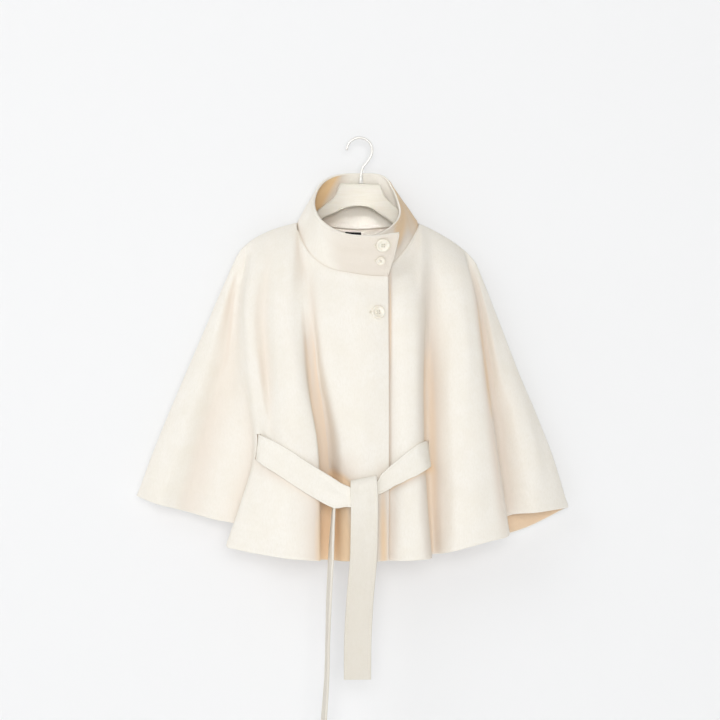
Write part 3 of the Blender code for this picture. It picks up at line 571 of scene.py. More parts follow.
# A front's or the back's seam allowance inside its top edge: how far in, how far down.
# At the shoulders this share of it hangs down, and it turns so over these places
# outside and inside the end of the neck seam.
SEAM_ALLOWANCE = ((6.5, 1.5), (4.5, 1.0), (2.5, 0.6), (0.9, 0.3))
SHOULDER_ALLOWANCE = 0.6
ALLOWANCE_TURN = (0.4, 0.1)

# Camera: its distance and the width that it sees at the jacket, in mm, and its place
# across and up in metres
SENSOR_WIDTH = 36.0
CAMERA_DISTANCE = 3500
CAMERA_SPAN = 1224
CAMERA_X = 0.00085
CAMERA_Z = -0.3757

# Lights: name, place, what they point at, size, power, spread in degrees, colour. The
# last is a narrow beam into the neck, where the collar keeps other light out.
LIGHTS = (
    ("key", (-3.6, -4.0, 2.6), (0.0, 0.0, -0.45), 3.6, 57, 180, (0.99, 1.0, 1.01)),
    ("front", (0.2, -5.2, 0.1), (0.0, 0.0, -0.4), 2.4, 115, 180, (1.0, 1.0, 1.0)),
    ("side", (-4.5, -1.8, 1.0), (0.0, 0.0, -0.4), 2.6, 20, 180, (1.0, 1.0, 1.0)),
    ("neck", (0.03, -0.38, 0.12), (0.005, 0.0, -0.118), 0.05, 0.008, 15, (1.0, 1.0, 1.0)),
)
# Soft light from everywhere, from below and from above
SKY_BELOW = (0.355, 0.348, 0.335)
SKY_ABOVE = (0.335, 0.333, 0.33)

# How far the wall and the floor reach, and where they are, in metres
STAGE_SIZE = 7.0
WALL_Y = 0.040
FLOOR_Z = -1.62

# Colours
BACKDROP = (0.62, 0.624, 0.63)
BACKDROP_GLOW = 0.28
BUTTON_CREAM = (0.90, 0.86, 0.76)
LABEL_BLACK = (0.010, 0.010, 0.012)
PAINT_CREAM = (0.665, 0.632, 0.55)
PLATED_STEEL = (0.83, 0.815, 0.775)
WOOL_LIGHT = (0.905, 0.872, 0.805)
WOOL_PRESSED = (0.905, 0.874, 0.805)
# The belt's hanging ends are the same wool painted darker, as painted shade
WOOL_TAILS_SHADED = (0.86, 0.828, 0.758)
WOOL_THREAD = (0.88, 0.84, 0.74)
# Painted shade of the cream wool, warm like the light that cloth throws on cloth: its colour
# in soft hollows, where it faces other cloth, and down in the narrow folds
WOOL_PAINTED_SHADE = ((0.45, (0.80, 0.715, 0.625)), (0.8, (0.87, 0.665, 0.46)), (1.0, (0.97, 0.745, 0.515)))
COLLAR_PAINTED_SHADE = ((0.5, (0.725, 0.645, 0.555)), (0.8, (0.77, 0.54, 0.30)))
TAIL_PAINTED_SHADE = ((1.0, (0.635, 0.585, 0.505)),)

# Painted shade of the panels, 0 to 1: how deep a full hollow is in mm and its shade, the
# shade kept at the top seam and where it is whole, what the slopes to the window lose,
# and the inside's shade at the top, what is added below it, over which heights, and
# how much of the painted shade from near cloth it takes
HOLLOW_DEPTH = 12.0
HOLLOW_SHADE = 0.45
SEAM_SHADE = 0.15
SEAM_FADE = (2, 70)
WINDOW_SHARE = 0.6
WINDOW_RANGE = (0.12, 0.5)
INSIDE_TOP = 0.06
INSIDE_SHADE = 0.7
INSIDE_RANGE = (240, 420)
INSIDE_GAIN = 0.5
# The collar's painted shade. It grows where its outer normal turns to the right, down and
# forward and, for the inside, to the left: from, to, sign, axis. Then shades and gains.
COLLAR_TURNED = ((0.2, 0.75, 1, 0), (0.0, 0.35, -1, 2), (0.0, 0.6, -1, 1), (0.02, 0.24, -1, 0))
COLLAR_SIDE_TONE = 0.7
COLLAR_LOW_TONE = 0.3
COLLAR_GAIN = 0.8
COLLAR_INNER_TONE = 0.8
COLLAR_INNER_GAIN = 0.15
# The belt's hanging ends get more painted shade down their length, from and to these shares
# of it, and how much of the painted shade from near cloth the belt takes
TAIL_SHADE = 0.4
TAIL_RANGE = (0.1, 0.6)
BELT_GAIN = 0.35

# How far cloth near by still puts painted shade on what faces it, the rays that look for it,
# how the result is smoothed, and the shade that it gives
NEAR_REACH = 110.0
NEAR_LIFT = 1.6
NEAR_RAYS = 14
NEAR_SMOOTHING = 5
NEAR_KEPT = 0.4
NEAR_SHADE = 0.58
NEAR_RANGE = (0.08, 0.5)


def blend(first, second, share):
    return first + (second - first) * share


def smooth_step(low, high, value):
    share = max(0.0, min(1.0, (value - low) / (high - low)))
    return share * share * (3.0 - 2.0 * share)


def smooth_array(low, high, value):
    share = np.clip((value - low) / (high - low), 0.0, 1.0)
    return share * share * (3.0 - 2.0 * share)


def unit(vectors):
    return vectors / np.maximum(np.linalg.norm(vectors, axis=-1, keepdims=True), 1e-9)


def curve_point(points, place):
    """A smooth curve through points, at place, counted in points (centripetal)."""
    last = len(points) - 1
    span = max(0, min(last - 1, int(math.floor(place))))
    share = place - span
    start, end = points[span], points[span + 1]
    before = points[span - 1] if span > 0 else start * 2.0 - end
    after = points[span + 2] if span + 2 <= last else end * 2.0 - start
    step_in = max(1e-4, (start - before).length ** 0.5)
    step = max(1e-4, (end - start).length ** 0.5)
    step_out = max(1e-4, (after - end).length ** 0.5)
    slope_in = (start - before) / step_in - (end - before) / (step_in + step) + (end - start) / step
    slope_out = (end - start) / step - (after - start) / (step + step_out) + (after - end) / step_out
    slope_in *= step
    slope_out *= step
    squared, cubed = share * share, share * share * share
    return (
        start * (2 * cubed - 3 * squared + 1)
        + slope_in * (cubed - 2 * squared + share)
        + end * (3 * squared - 2 * cubed)
        + slope_out * (cubed - squared)
    )


NECK_SEAM = [Vector(row[1:4]) for row in COLLAR]
COLLAR_RIM = [Vector(row[4:7]) for row in COLLAR]
LEFT_SHOULDER = [Vector(row) for row in SHOULDER_LEFT_SIDE]
RIGHT_SHOULDER = [Vector(row) for row in SHOULDER_RIGHT_SIDE]


def front_right_edge(place):
    """Top edge of the right front: neck seam, then shoulder seam."""
    if place <= NECK_LEFT:
        return curve_point(NECK_SEAM, place)
    return curve_point(LEFT_SHOULDER, place - NECK_LEFT)


def front_left_edge(place):
    """Top edge of the left front, from the hidden end of the neck seam."""
    neck_rows = NECK_LAST - NECK_RIGHT
    if place <= neck_rows:
        return curve_point(NECK_SEAM, NECK_LAST - place)
    return curve_point(RIGHT_SHOULDER, place - neck_rows)


def back_edge(place):
    """Top edge of the back: shoulder seam, neck seam, shoulder seam."""
    neck_rows = NECK_RIGHT - NECK_LEFT
    if place < 0:
        return curve_point(LEFT_SHOULDER, -place)
    if place <= neck_rows:
        return curve_point(NECK_SEAM, NECK_LEFT + place)
    return curve_point(RIGHT_SHOULDER, place - neck_rows)


def fold_levels(row):
    """A fold's places at chest, waist, belt and hem."""
    heights = (CHEST_Z, WAIST_Z, BELT_Z, row[8])
    return [Vector((row[2 * i], row[2 * i + 1], height)) for i, height in enumerate(heights)]


class Panel:
    """A front or the back: a surface through its folds, from top edge to hem.

    Its folds are stations 0, 1, 2 ... along it. facing is -1 for a front and 1
    for the back.
    """

    def __init__(self, table, top_edge, facing, seams, neck_places, slit):
        self.top_edge = top_edge
        self.slit = slit
        self.facing = facing
        self.neck_from, self.neck_to = neck_places
        self.seam_first, self.seam_last = bool(seams[0]), bool(seams[1])
        stations = [(name, place, cuts, fold_levels(levels)) for name, place, cuts, *levels in table]
        if self.seam_first:
            stations = self.over_arm_seam(*seams[0]) + stations
        if self.seam_last:
            stations += reversed(self.over_arm_seam(*seams[1]))
        self.names, self.places, self.cuts, self.levels = zip(*stations)
        self.last = len(stations) - 1

    def over_arm_seam(self, row, place, nose_place, nose_cuts):
        """The stations of the over-arm seam and of the rounded nose beside it."""
        outward = NOSE_OUT if row[0] > 0 else -NOSE_OUT
        edge = fold_levels(row)
        for level in edge:
            level.y += self.facing * SEAM_GAP / 2
        nose = [level + Vector((outward, self.facing * NOSE_DEPTH, 0)) for level in edge]
        return [("seam", place, 1, edge), ("nose", nose_place, nose_cuts, nose)]

    def nose_levels(self, top, chest, on_seam):
        """The roll and the yoke beside the over-arm seam: 1 on it, 0 at the nose."""
        away = 1 - on_seam
        outward = NOSE_OUT * away if chest.x > 0 else -NOSE_OUT * away
        shift = Vector((outward, self.facing * NOSE_DEPTH * away, NOSE_RISE * away))
        return blend(top, chest, SEAM_ROLL) + shift, blend(top, chest, YOKE_FALL) + shift

    def column(self, along):
        """The level points of the vertical line at this place along the panel."""
        station = min(int(along), self.last - 1)
        place = blend(self.places[station], self.places[station + 1], along - station)
        lower = [curve_point([fold[i] for fold in self.levels], along) for i in range(4)]
        chest = lower[0]
        top = self.top_edge(place)
        to_end = min(
            along if self.seam_first else self.last,
            self.last - along if self.seam_last else self.last,
        )
        on_neck_from = smooth_step(self.neck_from, self.neck_from + NECK_TURN, place)
        on_neck_to = smooth_step(self.neck_to - NECK_TURN, self.neck_to, place)
        on_shoulder = 1.0 - on_neck_from * (1.0 - on_neck_to)
        if on_shoulder == 1.0:
            top = top + Vector((0, self.facing * SEAM_GAP / 2, 0))
        shoulder_roll = top + Vector((0, self.facing * ROLL_DEPTH, ROLL_RISE))
        roll = blend(blend(top, chest, NECK_ROLL), shoulder_roll, on_shoulder)
        yoke = blend(top, chest, YOKE_FALL)
        yoke_depth = self.facing * max(abs(chest.y) * YOKE_DEPTH, YOKE_CLEAR)
        yoke.y += (yoke_depth - yoke.y) * on_shoulder
        if to_end < 2:
            # Within two stations of the over-arm seam the cloth rounds to its nose
            nose_roll, nose_yoke = self.nose_levels(top, chest, max(0.0, 1 - to_end))
            share = smooth_step(2, 1, to_end)
            roll = blend(roll, nose_roll, share)
            yoke = blend(yoke, nose_yoke, share)
        return [top, roll, yoke, *lower]

    def point(self, along, down):
        return curve_point(self.column(along), down)

    def normal(self, along, down):
        """Unit vector out of the garment."""
        step = NORMAL_STEP
        across = self.point(along + step, down) - self.point(along - step, down)
        drop = self.point(along, down + step) - self.point(along, down - step)
        direction = across.cross(drop).normalized()
        if direction.y * self.facing < 0:
            direction.negate()
        return direction


def collar_point(along, up):
    """The collar's outer face: along counts its table's rows, up goes 0 to 1."""
    base = curve_point(NECK_SEAM, along)
    rim = curve_point(COLLAR_RIM, along)
    base = base + (rim - base).normalized() * COLLAR_GAP
    outward = blend(base, rim, 0.5) - Vector((0, COLLAR_MIDDLE_Y, 0))
    outward.z = 0
    bulge = outward.normalized() * COLLAR_BULGE * 4 * up * (1 - up)
    return blend(base, rim, up) + bulge


def collar_normal(along, up):
    """Unit vector out of the collar's outer face."""
    step = NORMAL_STEP
    across = collar_point(along + step, up) - collar_point(along - step, up)
    rise = collar_point(along, up + step) - collar_point(along, up - step)
    return rise.cross(across).normalized()


def grid_normals(points, sign):
    """Unit normals of a grid of points, from its neighbours."""
    return unit(np.cross(np.gradient(points, axis=1), np.gradient(points, axis=0)) * sign)


def outward_sign(points, outward):
    """1 or -1, the sign with which grid_normals turns a grid's normals outwards."""
    return 1.0 if (grid_normals(points, 1.0) * outward).sum() > 0 else -1.0


def edge_distance(points, axis, last):
    """Distance in mm along the cloth from one edge of the grid."""
    steps = np.linalg.norm(np.diff(points, axis=axis), axis=2)
    shape = list(points.shape[:2])
    shape[axis] = 1
    run = np.concatenate([np.zeros(shape), np.cumsum(steps, axis=axis)], axis=axis)
    return np.take(run, [-1], axis=axis) - run if last else run


def length_along(places):
    """Distance in mm along a line of points, at each of them."""
    return np.concatenate([[0], np.cumsum(np.linalg.norm(np.diff(places, axis=0), axis=1))])


def crease_height(flat, creases, bend=CREASE_BEND):
    """Summed height of creases on points (..., 2), each a line with soft ends that bends
    by a share of its length."""
    height = np.zeros(flat.shape[:-1])
    for x0, z0, x1, z1, half_width, rise in creases:
        start, run = np.array([x0, z0]), np.array([x1 - x0, z1 - z0], float)
        length = math.hypot(*run)
        offset = flat - start
        arch = np.sin(np.pi * np.clip((offset @ run) / (length * length), 0, 1))
        bent = bend * length * arch * math.copysign(1, x0 + z0 * CREASE_SIDE)
        side = (offset @ np.array([-run[1], run[0]])) / length - bent
        height += rise * np.exp(-((side / half_width) ** 2)) * arch ** CREASE_ENDS
    return height


def edge_height(distance, rows):
    """Summed height of ridges and grooves along an edge: rise, distance in, width."""
    return sum(rise * np.exp(-((distance - place) / width) ** 2) for rise, place, width in rows)


def waviness(points, height, size, shift):
    """Smooth noise at points in mm, about height high, with features about size wide."""
    flat = points.reshape(-1, 3) / size + shift
    values = [noise.noise(Vector(place)) for place in flat]
    return height * np.array(values).reshape(points.shape[:-1])


def blurred_along(points, reach):
    """The surface with its folds smoothed out along its rows."""
    kernel = np.exp(-np.linspace(-BLUR_FALL, BLUR_FALL, 2 * reach + 1) ** 2)
    kernel /= kernel.sum()
    padded = np.pad(points, ((0, 0), (reach, reach), (0, 0)), mode="edge")
    blurred = np.zeros_like(points)
    for step in range(2 * reach + 1):
        blurred += kernel[step] * padded[:, step:step + points.shape[1]]
    return blurred


def hollow(points, normals, reach):
    """How deep a point lies in a fold: 0 on ridges and flats, 1 in deep valleys."""
    depth = ((blurred_along(points, reach) - points) * normals).sum(axis=2)
    return np.clip(depth / HOLLOW_DEPTH, 0.0, 1.0)


def ray_spread(count):
    """Even directions over a half ball round +Z."""
    directions = []
    for number in range(count):
        rise = (number + 0.5) / count
        angle = number * math.pi * (3.0 - math.sqrt(5.0))
        flat = math.sqrt(1 - rise * rise)
        directions.append((flat * math.cos(angle), flat * math.sin(angle), rise))
    return np.array(directions)


def mesh_values(rows, name, size, kind=float):
    """A value of every vertex, edge or corner of a mesh, as an array with size columns."""
    values = np.empty(len(rows) * size, dtype=kind)
    rows.foreach_get(name, values)
    return values.reshape(-1, size)


def paint_shade_near_cloth(pieces, walls, hanger):
    """Paints shade into each point of the pieces by how much of what it faces is a wall of
    cloth or the hanger close by."""
    corners, faces = [], []
    for piece in (*walls, hanger):
        first = len(corners)
        matrix = hanger.matrix_world if piece == hanger else Matrix.Identity(4)
        corners += [matrix @ vertex.co / MM for vertex in piece.data.vertices]
        faces += [[first + v for v in face.vertices] for face in piece.data.polygons]
    tree = BVHTree.FromPolygons(corners, faces)
    spread = ray_spread(NEAR_RAYS)
    for piece in pieces:
        mesh = piece.data
        normals = mesh_values(mesh.vertex_normals, "vector", 3)
        helper = np.where(np.abs(normals[:, 2:]) < 0.9, (0.0, 0.0, 1.0), (1.0, 0.0, 0.0))
        side = unit(np.cross(helper, normals))
        other = np.cross(normals, side)
        starts = (mesh_values(mesh.vertices, "co", 3) / MM + normals * NEAR_LIFT).tolist()
        near = np.zeros(len(starts))
        for x, y, z in spread:
            directions = (side * x + other * y + normals * z).tolist()
            for number, (start, direction) in enumerate(zip(starts, directions)):
                distance = tree.ray_cast(start, direction, NEAR_REACH)[3]
                if distance is not None:
                    near[number] += 1.0 - distance / NEAR_REACH
        near /= NEAR_RAYS
        start, end = mesh_values(mesh.edges, "vertices", 2, np.int32).T
        count = np.bincount(np.concatenate([start, end]), minlength=len(near))
        for _turn in range(NEAR_SMOOTHING):
            total = np.bincount(start, near[end], len(near)) + np.bincount(end, near[start], len(near))
            near = NEAR_KEPT * near + (1 - NEAR_KEPT) * total / np.maximum(count, 1)
        tone = mesh.attributes["painted_shade"]
        base = mesh_values(tone.data, "value", 1, np.float32)[:, 0]
        gain = mesh_values(mesh.attributes["painted_shade_gain"].data, "value", 1, np.float32)[:, 0]
        warm = gain * (NEAR_SHADE * smooth_array(*NEAR_RANGE, near))
        tone.data.foreach_set("value", np.maximum(base, warm).astype(np.float32))


def face_outwards(mesh):
    """Turns a closed mesh's faces over where its signed volume says that they face in."""
    mesh.calc_loop_triangles()
    corners = mesh_values(mesh.loop_triangles, "vertices", 3, np.int32)
    a, b, c = mesh_values(mesh.vertices, "co", 3)[corners].transpose(1, 0, 2)
    if (a * np.cross(b, c)).sum() < 0:
        mesh.flip_normals()


class Shell:
    """Vertices and faces gathered before they become a mesh, with each vertex's own painted
    shade and how much of the painted shade from cloth near by is added to it."""

    def __init__(self):
        self.points = []
        self.faces = []
        self.base = []
        self.gain = []

    def add(self, points, base=0.0, gain=1.0):
        """Adds points in mm and says the number of the first."""
        first = sum(len(block) for block in self.points)
        self.points.append(np.asarray(points, float).reshape(-1, 3))
        count = len(self.points[-1])
        self.base.append(np.broadcast_to(np.ravel(base), count))
        self.gain.append(np.broadcast_to(np.ravel(gain), count))
        return first

    def bridge(self, first, second, count, turned=1):
        """Faces between two closed rings, given by their first vertices. turned is -1
        where they face the other way."""
        for k in range(count):
            after = (k + 1) % count
            self.faces.append((first + k, first + after, second + after, second + k)[::turned])

    def cap(self, first, count, turned=1):
        self.faces.append(tuple(range(first, first + count))[::turned])

    def make(self, name, material):
        mesh = bpy.data.meshes.new(name)
        mesh.from_pydata((np.concatenate(self.points) * MM).tolist(), [], self.faces)
        mesh.update()
        # The painted shade of each vertex and its gain become point attributes
        for label, blocks in (("painted_shade", self.base), ("painted_shade_gain", self.gain)):
            attribute = mesh.attributes.new(label, "FLOAT", "POINT")
            attribute.data.foreach_set("value", np.concatenate(blocks).astype(np.float32))
        mesh.polygons.foreach_set("use_smooth", [True] * len(mesh.polygons))
        mesh.materials.append(material)
        return linked(name, mesh)


def linked(name, data):
    """A new object with this data, in the scene."""
    thing = bpy.data.objects.new(name, data)
    bpy.context.scene.collection.objects.link(thing)
    return thing


def closed_shell(outer, normals, thickness, sign, holes=(), outside=(0.0, 1.0), inside=(0.0, 1.0)):
    """A shell between a grid's outer face and its offset, with rounded edges. outside
    and inside are the base and the gain of each face's painted shade."""
    shell = Shell()
    rows, cols = outer.shape[:2]
    shell.add(outer, *outside)
    first_inner = shell.add(outer - normals * thickness[..., None], *inside)
    quads = []
    for i in range(rows - 1):
        for j in range(cols - 1):
            if (i, j) not in holes:
                corner = i * cols + j
                quads.append((corner, corner + 1, corner + cols + 1, corner + cols))
    if sign < 0:
        quads = [quad[::-1] for quad in quads]
    shell.faces += quads
    shell.faces += [tuple(corner + first_inner for corner in quad[::-1]) for quad in quads]

    # Every open edge gets a half round between the two faces
    directed = set()
    for quad in quads:
        directed.update(zip(quad, quad[1:] + quad[:1]))
    border = sorted(edge for edge in directed if (edge[1], edge[0]) not in directed)
    flat_outer, flat_normal = outer.reshape(-1, 3), normals.reshape(-1, 3)
    outward = {}
    for start, end in border:
        aside = np.cross(flat_outer[end] - flat_outer[start], flat_normal[start])
        for corner in (start, end):
            outward[corner] = outward.get(corner, np.zeros(3)) + aside
    corners = sorted(outward)
    directions = unit(np.array([outward[corner] for corner in corners]))
    half = thickness.ravel()[corners][:, None] / 2
    middle = flat_outer[corners] - flat_normal[corners] * half
    place = {corner: i for i, corner in enumerate(corners)}
    rings = []
    for step in range(1, RIM_STEPS):
        angle = math.pi * step / RIM_STEPS
        ring = middle + flat_normal[corners] * half * math.cos(angle)
        rings.append(shell.add(ring + directions * half * math.sin(angle)))
    for start, end in border:
        left = [start, *[ring + place[start] for ring in rings], start + first_inner]
        right = [end, *[ring + place[end] for ring in rings], end + first_inner]
        for k in range(RIM_STEPS):
            shell.faces.append((right[k], left[k], left[k + 1], right[k + 1]))
    return shell


def tube(shell, path, radii, sides):
    """A round tube with closed ends along points in mm."""
    path = np.asarray(path, float)
    tangent = unit(np.gradient(path, axis=0))
    side = unit(np.cross(tangent[0], (0.0, 1.0, 0.1)))
    angles = np.arange(sides) * 2 * math.pi / sides
    rings = []
    for place, along, radius in zip(path, tangent, radii):
        side = unit(side - along * (side @ along))
        other = np.cross(along, side)
        ring = np.outer(np.cos(angles), side) + np.outer(np.sin(angles), other)
        rings.append(shell.add(place + radius * ring))
    for first, second in zip(rings, rings[1:]):
        shell.bridge(first, second, sides)
    shell.cap(rings[0], sides, -1)
    shell.cap(rings[-1], sides)


def stitch_row(shell, places, normals):
    """Single stitches along a line of points in mm, each dipping into the cloth."""
    run = length_along(places)
    shares, heights, widths = np.array(STITCH_PROFILE).T
    for number in range(int(run[-1] / STITCH_PITCH)):
        marks = (number + STITCH_START) * STITCH_PITCH + STITCH_LENGTH * shares
        line = np.stack([np.interp(marks, run, places[:, k]) for k in range(3)], axis=1)
        up = np.stack([np.interp(marks, run, normals[:, k]) for k in range(3)], axis=1)
        tube(shell, line + up * heights[:, None], THREAD_RADIUS * widths, STITCH_SIDES)


def set_inputs(tree, node, *inputs):
    """Gives inputs of a node, by name or number, a value or another node's output."""
    for key, value in inputs:
        socket = node.inputs[key]
        if isinstance(value, bpy.types.NodeSocket):
            tree.links.new(value, socket)
        elif isinstance(value, tuple) and len(value) == 3 and socket.type == "RGBA":
            socket.default_value = (*value, 1.0)
        else:
            socket.default_value = value


def add_node(tree, kind, *inputs, **settings):
    node = tree.nodes.new(kind)
    for key, value in settings.items():
        setattr(node, key, value)
    set_inputs(tree, node, *inputs)
    return node


def new_material(name, colour, roughness, *inputs):
    """A material, its nodes and its shader."""
    material = bpy.data.materials.new(name)
    material.use_nodes = True
    tree = material.node_tree
    shader = tree.nodes["Principled BSDF"]
    set_inputs(tree, shader, ("Base Color", colour), ("Roughness", roughness), *inputs)
    return material, tree, shader


def object_place(tree):
    return add_node(tree, "ShaderNodeTexCoord").outputs["Object"]


def stretched(tree, place, shares):
    return add_node(tree, "ShaderNodeMapping", ("Scale", shares), ("Vector", place)).outputs["Vector"]


def noise_value(tree, place, scale, detail, roughness):
    inputs = (("Scale", scale), ("Detail", detail), ("Roughness", roughness), ("Vector", place))
    return add_node(tree, "ShaderNodeTexNoise", *inputs).outputs["Fac"]


def map_range(tree, value, low, high, to_low, to_high):
    names = ("Value", "From Min", "From Max", "To Min", "To Max")
    inputs = zip(names, (value, low, high, to_low, to_high))
    return add_node(tree, "ShaderNodeMapRange", *inputs).outputs["Result"]


def mix_colour(tree, share, first, second):
    """A colour between two, by a share from another node."""
    inputs = (("Factor", share), (6, first), (7, second))
    return add_node(tree, "ShaderNodeMix", *inputs, data_type="RGBA").outputs[2]


def darkened(tree, colour, light, shares, value, *limits):
    """A colour, mixed with shares of the light one where a value is high."""
    shade = tuple(channel * share for channel, share in zip(light, shares))
    return mix_colour(tree, map_range(tree, value, *limits), colour, shade)


def bumped(tree, height, strength, distance, *inputs):
    inputs = (("Strength", strength), ("Distance", distance), ("Height", height), *inputs)
    return add_node(tree, "ShaderNodeBump", *inputs).outputs["Normal"]


def wool_material(name, light, nap, shade_stops=WOOL_PAINTED_SHADE):
    """Brushed coating wool: a felted nap over soft, uneven colour, and painted shade in steps."""
    material, tree, shader = new_material(
        name, light, 0.92, ("Specular IOR Level", 0.25), ("Sheen Weight", 0.12),
        ("Sheen Roughness", 0.45), ("Sheen Tint", (1.0, 0.97, 0.9)),
    )
    place = object_place(tree)
    brushed = stretched(tree, place, (1.0, 1.0, 0.4))
    patches = noise_value(tree, place, 24, 3.0, 0.6)
    clumps = noise_value(tree, brushed, 420, 4.0, 0.65)
    fibres = noise_value(tree, brushed, 1500, 3.0, 0.7)
    depth = add_node(tree, "ShaderNodeAttribute", attribute_name="painted_shade").outputs["Fac"]
    colour = darkened(tree, light, light, (0.975, 0.965, 0.94), patches, 0.35, 0.7, 0, 1)
    colour = darkened(tree, colour, light, (0.93, 0.915, 0.88), clumps, 0.42, 0.72, 0, 0.55)
    # Painted shade: the colour steps to darker, warmer stops where the vertex's shade tone is high
    reached = 0.0
    for level, warm in shade_stops:
        colour = mix_colour(tree, map_range(tree, depth, reached, level, 0, 1), colour, warm)
        reached = level
    coarse = bumped(tree, clumps, 0.35 * nap, 0.0009)
    fine = bumped(tree, fibres, 0.45 * nap, 0.0004, ("Normal", coarse))
    rough = map_range(tree, clumps, 0.3, 0.7, 0.86, 0.98)
    set_inputs(tree, shader, ("Base Color", colour), ("Normal", fine), ("Roughness", rough))
    return material


def woven_tape_material(name, colour):
    """Fine tape whose warp and weft show as small raised squares."""
    material, tree, shader = new_material(name, colour, 0.8, ("Sheen Weight", 0.1))
    waves = (("Scale", 620), ("Vector", object_place(tree)))
    warp = add_node(tree, "ShaderNodeTexWave", *waves, bands_direction="X").outputs["Fac"]
    weft = add_node(tree, "ShaderNodeTexWave", *waves, bands_direction="Z").outputs["Fac"]
    both = add_node(tree, "ShaderNodeMath", (0, warp), (1, weft), operation="MULTIPLY").outputs[0]
    # The raised squares are painted lighter: a painted highlight on the weave
    raised = tuple(channel * 2.2 + 0.004 for channel in colour)
    woven = mix_colour(tree, both, colour, raised)
    set_inputs(tree, shader, ("Base Color", woven), ("Normal", bumped(tree, both, 0.5, 0.0002)))
    return material


def button_material(name, colour):
    """Cast resin with faint clouds, polished on its face."""
    material, tree, shader = new_material(
        name, colour, 0.32, ("Coat Weight", 0.25), ("Coat Roughness", 0.18),
        ("Subsurface Weight", 0.08), ("Subsurface Radius", (0.002, 0.0014, 0.0008)),
    )
    place = object_place(tree)
    clouds = noise_value(tree, place, 160, 4.0, 0.6)
    cloudy = darkened(tree, colour, colour, (0.94, 0.91, 0.86), clouds, 0.4, 0.65, 0, 1)
    scratches = noise_value(tree, place, 900, 2.0, 0.5)
    rough = map_range(tree, scratches, 0.3, 0.7, 0.26, 0.4)
    set_inputs(tree, shader, ("Base Color", cloudy), ("Roughness", rough))
    return material


def paint_material(name, colour):
    """Smooth paint over wood whose grain shows a little."""
    coat = (("Coat Weight", 0.1), ("Coat Roughness", 0.35))
    material, tree, shader = new_material(name, colour, 0.5, *coat)
    grain = noise_value(tree, stretched(tree, object_place(tree), (0.12, 1.0, 1.0)), 260, 4.0, 0.6)
    grained = darkened(tree, colour, colour, (0.95, 0.93, 0.88), grain, 0.4, 0.7, 0, 0.8)
    raised = bumped(tree, grain, 0.12, 0.0004)
    rough = map_range(tree, grain, 0.3, 0.7, 0.42, 0.58)
    set_inputs(tree, shader, ("Base Color", grained), ("Normal", raised), ("Roughness", rough))
    return material


def metal_material(name, colour):
    """Plated wire with slight wear."""
    material, tree, shader = new_material(name, colour, 0.4, ("Metallic", 0.45))
    wear = noise_value(tree, object_place(tree), 220, 4.0, 0.65)
    worn = darkened(tree, colour, colour, (0.94, 0.94, 0.94), wear, 0.5, 0.75, 0, 1)
    rough = map_range(tree, wear, 0.35, 0.7, 0.32, 0.48)
    set_inputs(tree, shader, ("Base Color", worn), ("Roughness", rough))
    return material


def wall_material(name, colour, glow):
    """Plain and pale, lit a little from within like a backdrop, and see-through from
    behind so that it never hides the object."""
    material, tree, shader = new_material(
        name, colour, 0.9, ("Emission Color", (1.0, 1.0, 1.0)), ("Emission Strength", glow),
        ("Specular IOR Level", 0.0),
    )
    behind = tree.nodes.new("ShaderNodeNewGeometry").outputs["Backfacing"]
    clear = tree.nodes.new("ShaderNodeBsdfTransparent").outputs["BSDF"]
    inputs = ((0, behind), (1, shader.outputs["BSDF"]), (2, clear))
    mixed = add_node(tree, "ShaderNodeMixShader", *inputs).outputs["Shader"]
    set_inputs(tree, tree.nodes["Material Output"], ("Surface", mixed))
    return material


def panel_grid(panel, steps):
    """A panel's points, the places of their columns, and the column of each station."""
    alongs, station_column = [], []
    for station in range(panel.last):
        station_column.append(len(alongs))
        # A strip that is one column of the solids' mesh is narrow, and so is its grid
        narrow = panel.cuts[station] == 1 and panel.names[station] != SLIT_FOLD
        count = max(NARROW_STEPS, steps // 2) if narrow else steps
        alongs += [station + step / count for step in range(count)]
    station_column.append(len(alongs))
    alongs.append(panel.last)
    marks = (0, 1, 2, 3, 4, *panel.slit, 6)
    downs = [0]
    for above, below, count in zip(marks, marks[1:], PANEL_ROW_STEPS):
        downs += [above + (below - above) * (step + 1) / count for step in range(count)]
    columns = [panel.column(along) for along in alongs]
    points = np.array([[curve_point(column, down) for column in columns] for down in downs])
    return points, alongs, station_column


def panel_relief(panel, points, creases, seed):
    """Height in mm of creases, turned edges and seams over a panel's surface."""
    from_top = edge_distance(points, 0, last=False)
    height = crease_height(points[..., [0, 2]], creases)
    for rise, size, shift, stretch in PANEL_WAVES:
        height += waviness(points * stretch, rise, size, seed + shift)
    height += edge_height(edge_distance(points, 0, last=True), HEM_RELIEF)
    height += edge_height(from_top, TOP_RELIEF)
    for seamed, last in ((panel.seam_first, False), (panel.seam_last, True)):
        if seamed:
            height += edge_height(edge_distance(points, 1, last), SEAM_RELIEF)
    return height * (TOP_KEPT + (1 - TOP_KEPT) * smooth_array(*TOP_FADE, from_top))


def seam_allowance(panel, edge, alongs):
    """Rows inside a top edge: below the collar along the neck, down at the shoulders."""
    inward = np.array([0.0, COLLAR_MIDDLE_Y, 0.0]) - edge
    inward[:, 2] = 0
    inward = unit(inward)
    alongs = np.array(alongs)
    outer, inner = ALLOWANCE_TURN
    past_from = smooth_array(panel.neck_from - outer, panel.neck_from + inner, alongs)
    past_to = smooth_array(panel.neck_to - inner, panel.neck_to + outer, alongs)
    on_neck = (past_from * (1 - past_to))[:, None]
    down = np.array([0.0, 0.0, -1.0])
    return [
        edge + on_neck * (inward * deep + down * low) + (1 - on_neck) * down * (SHOULDER_ALLOWANCE * deep)
        for deep, low in SEAM_ALLOWANCE
    ]


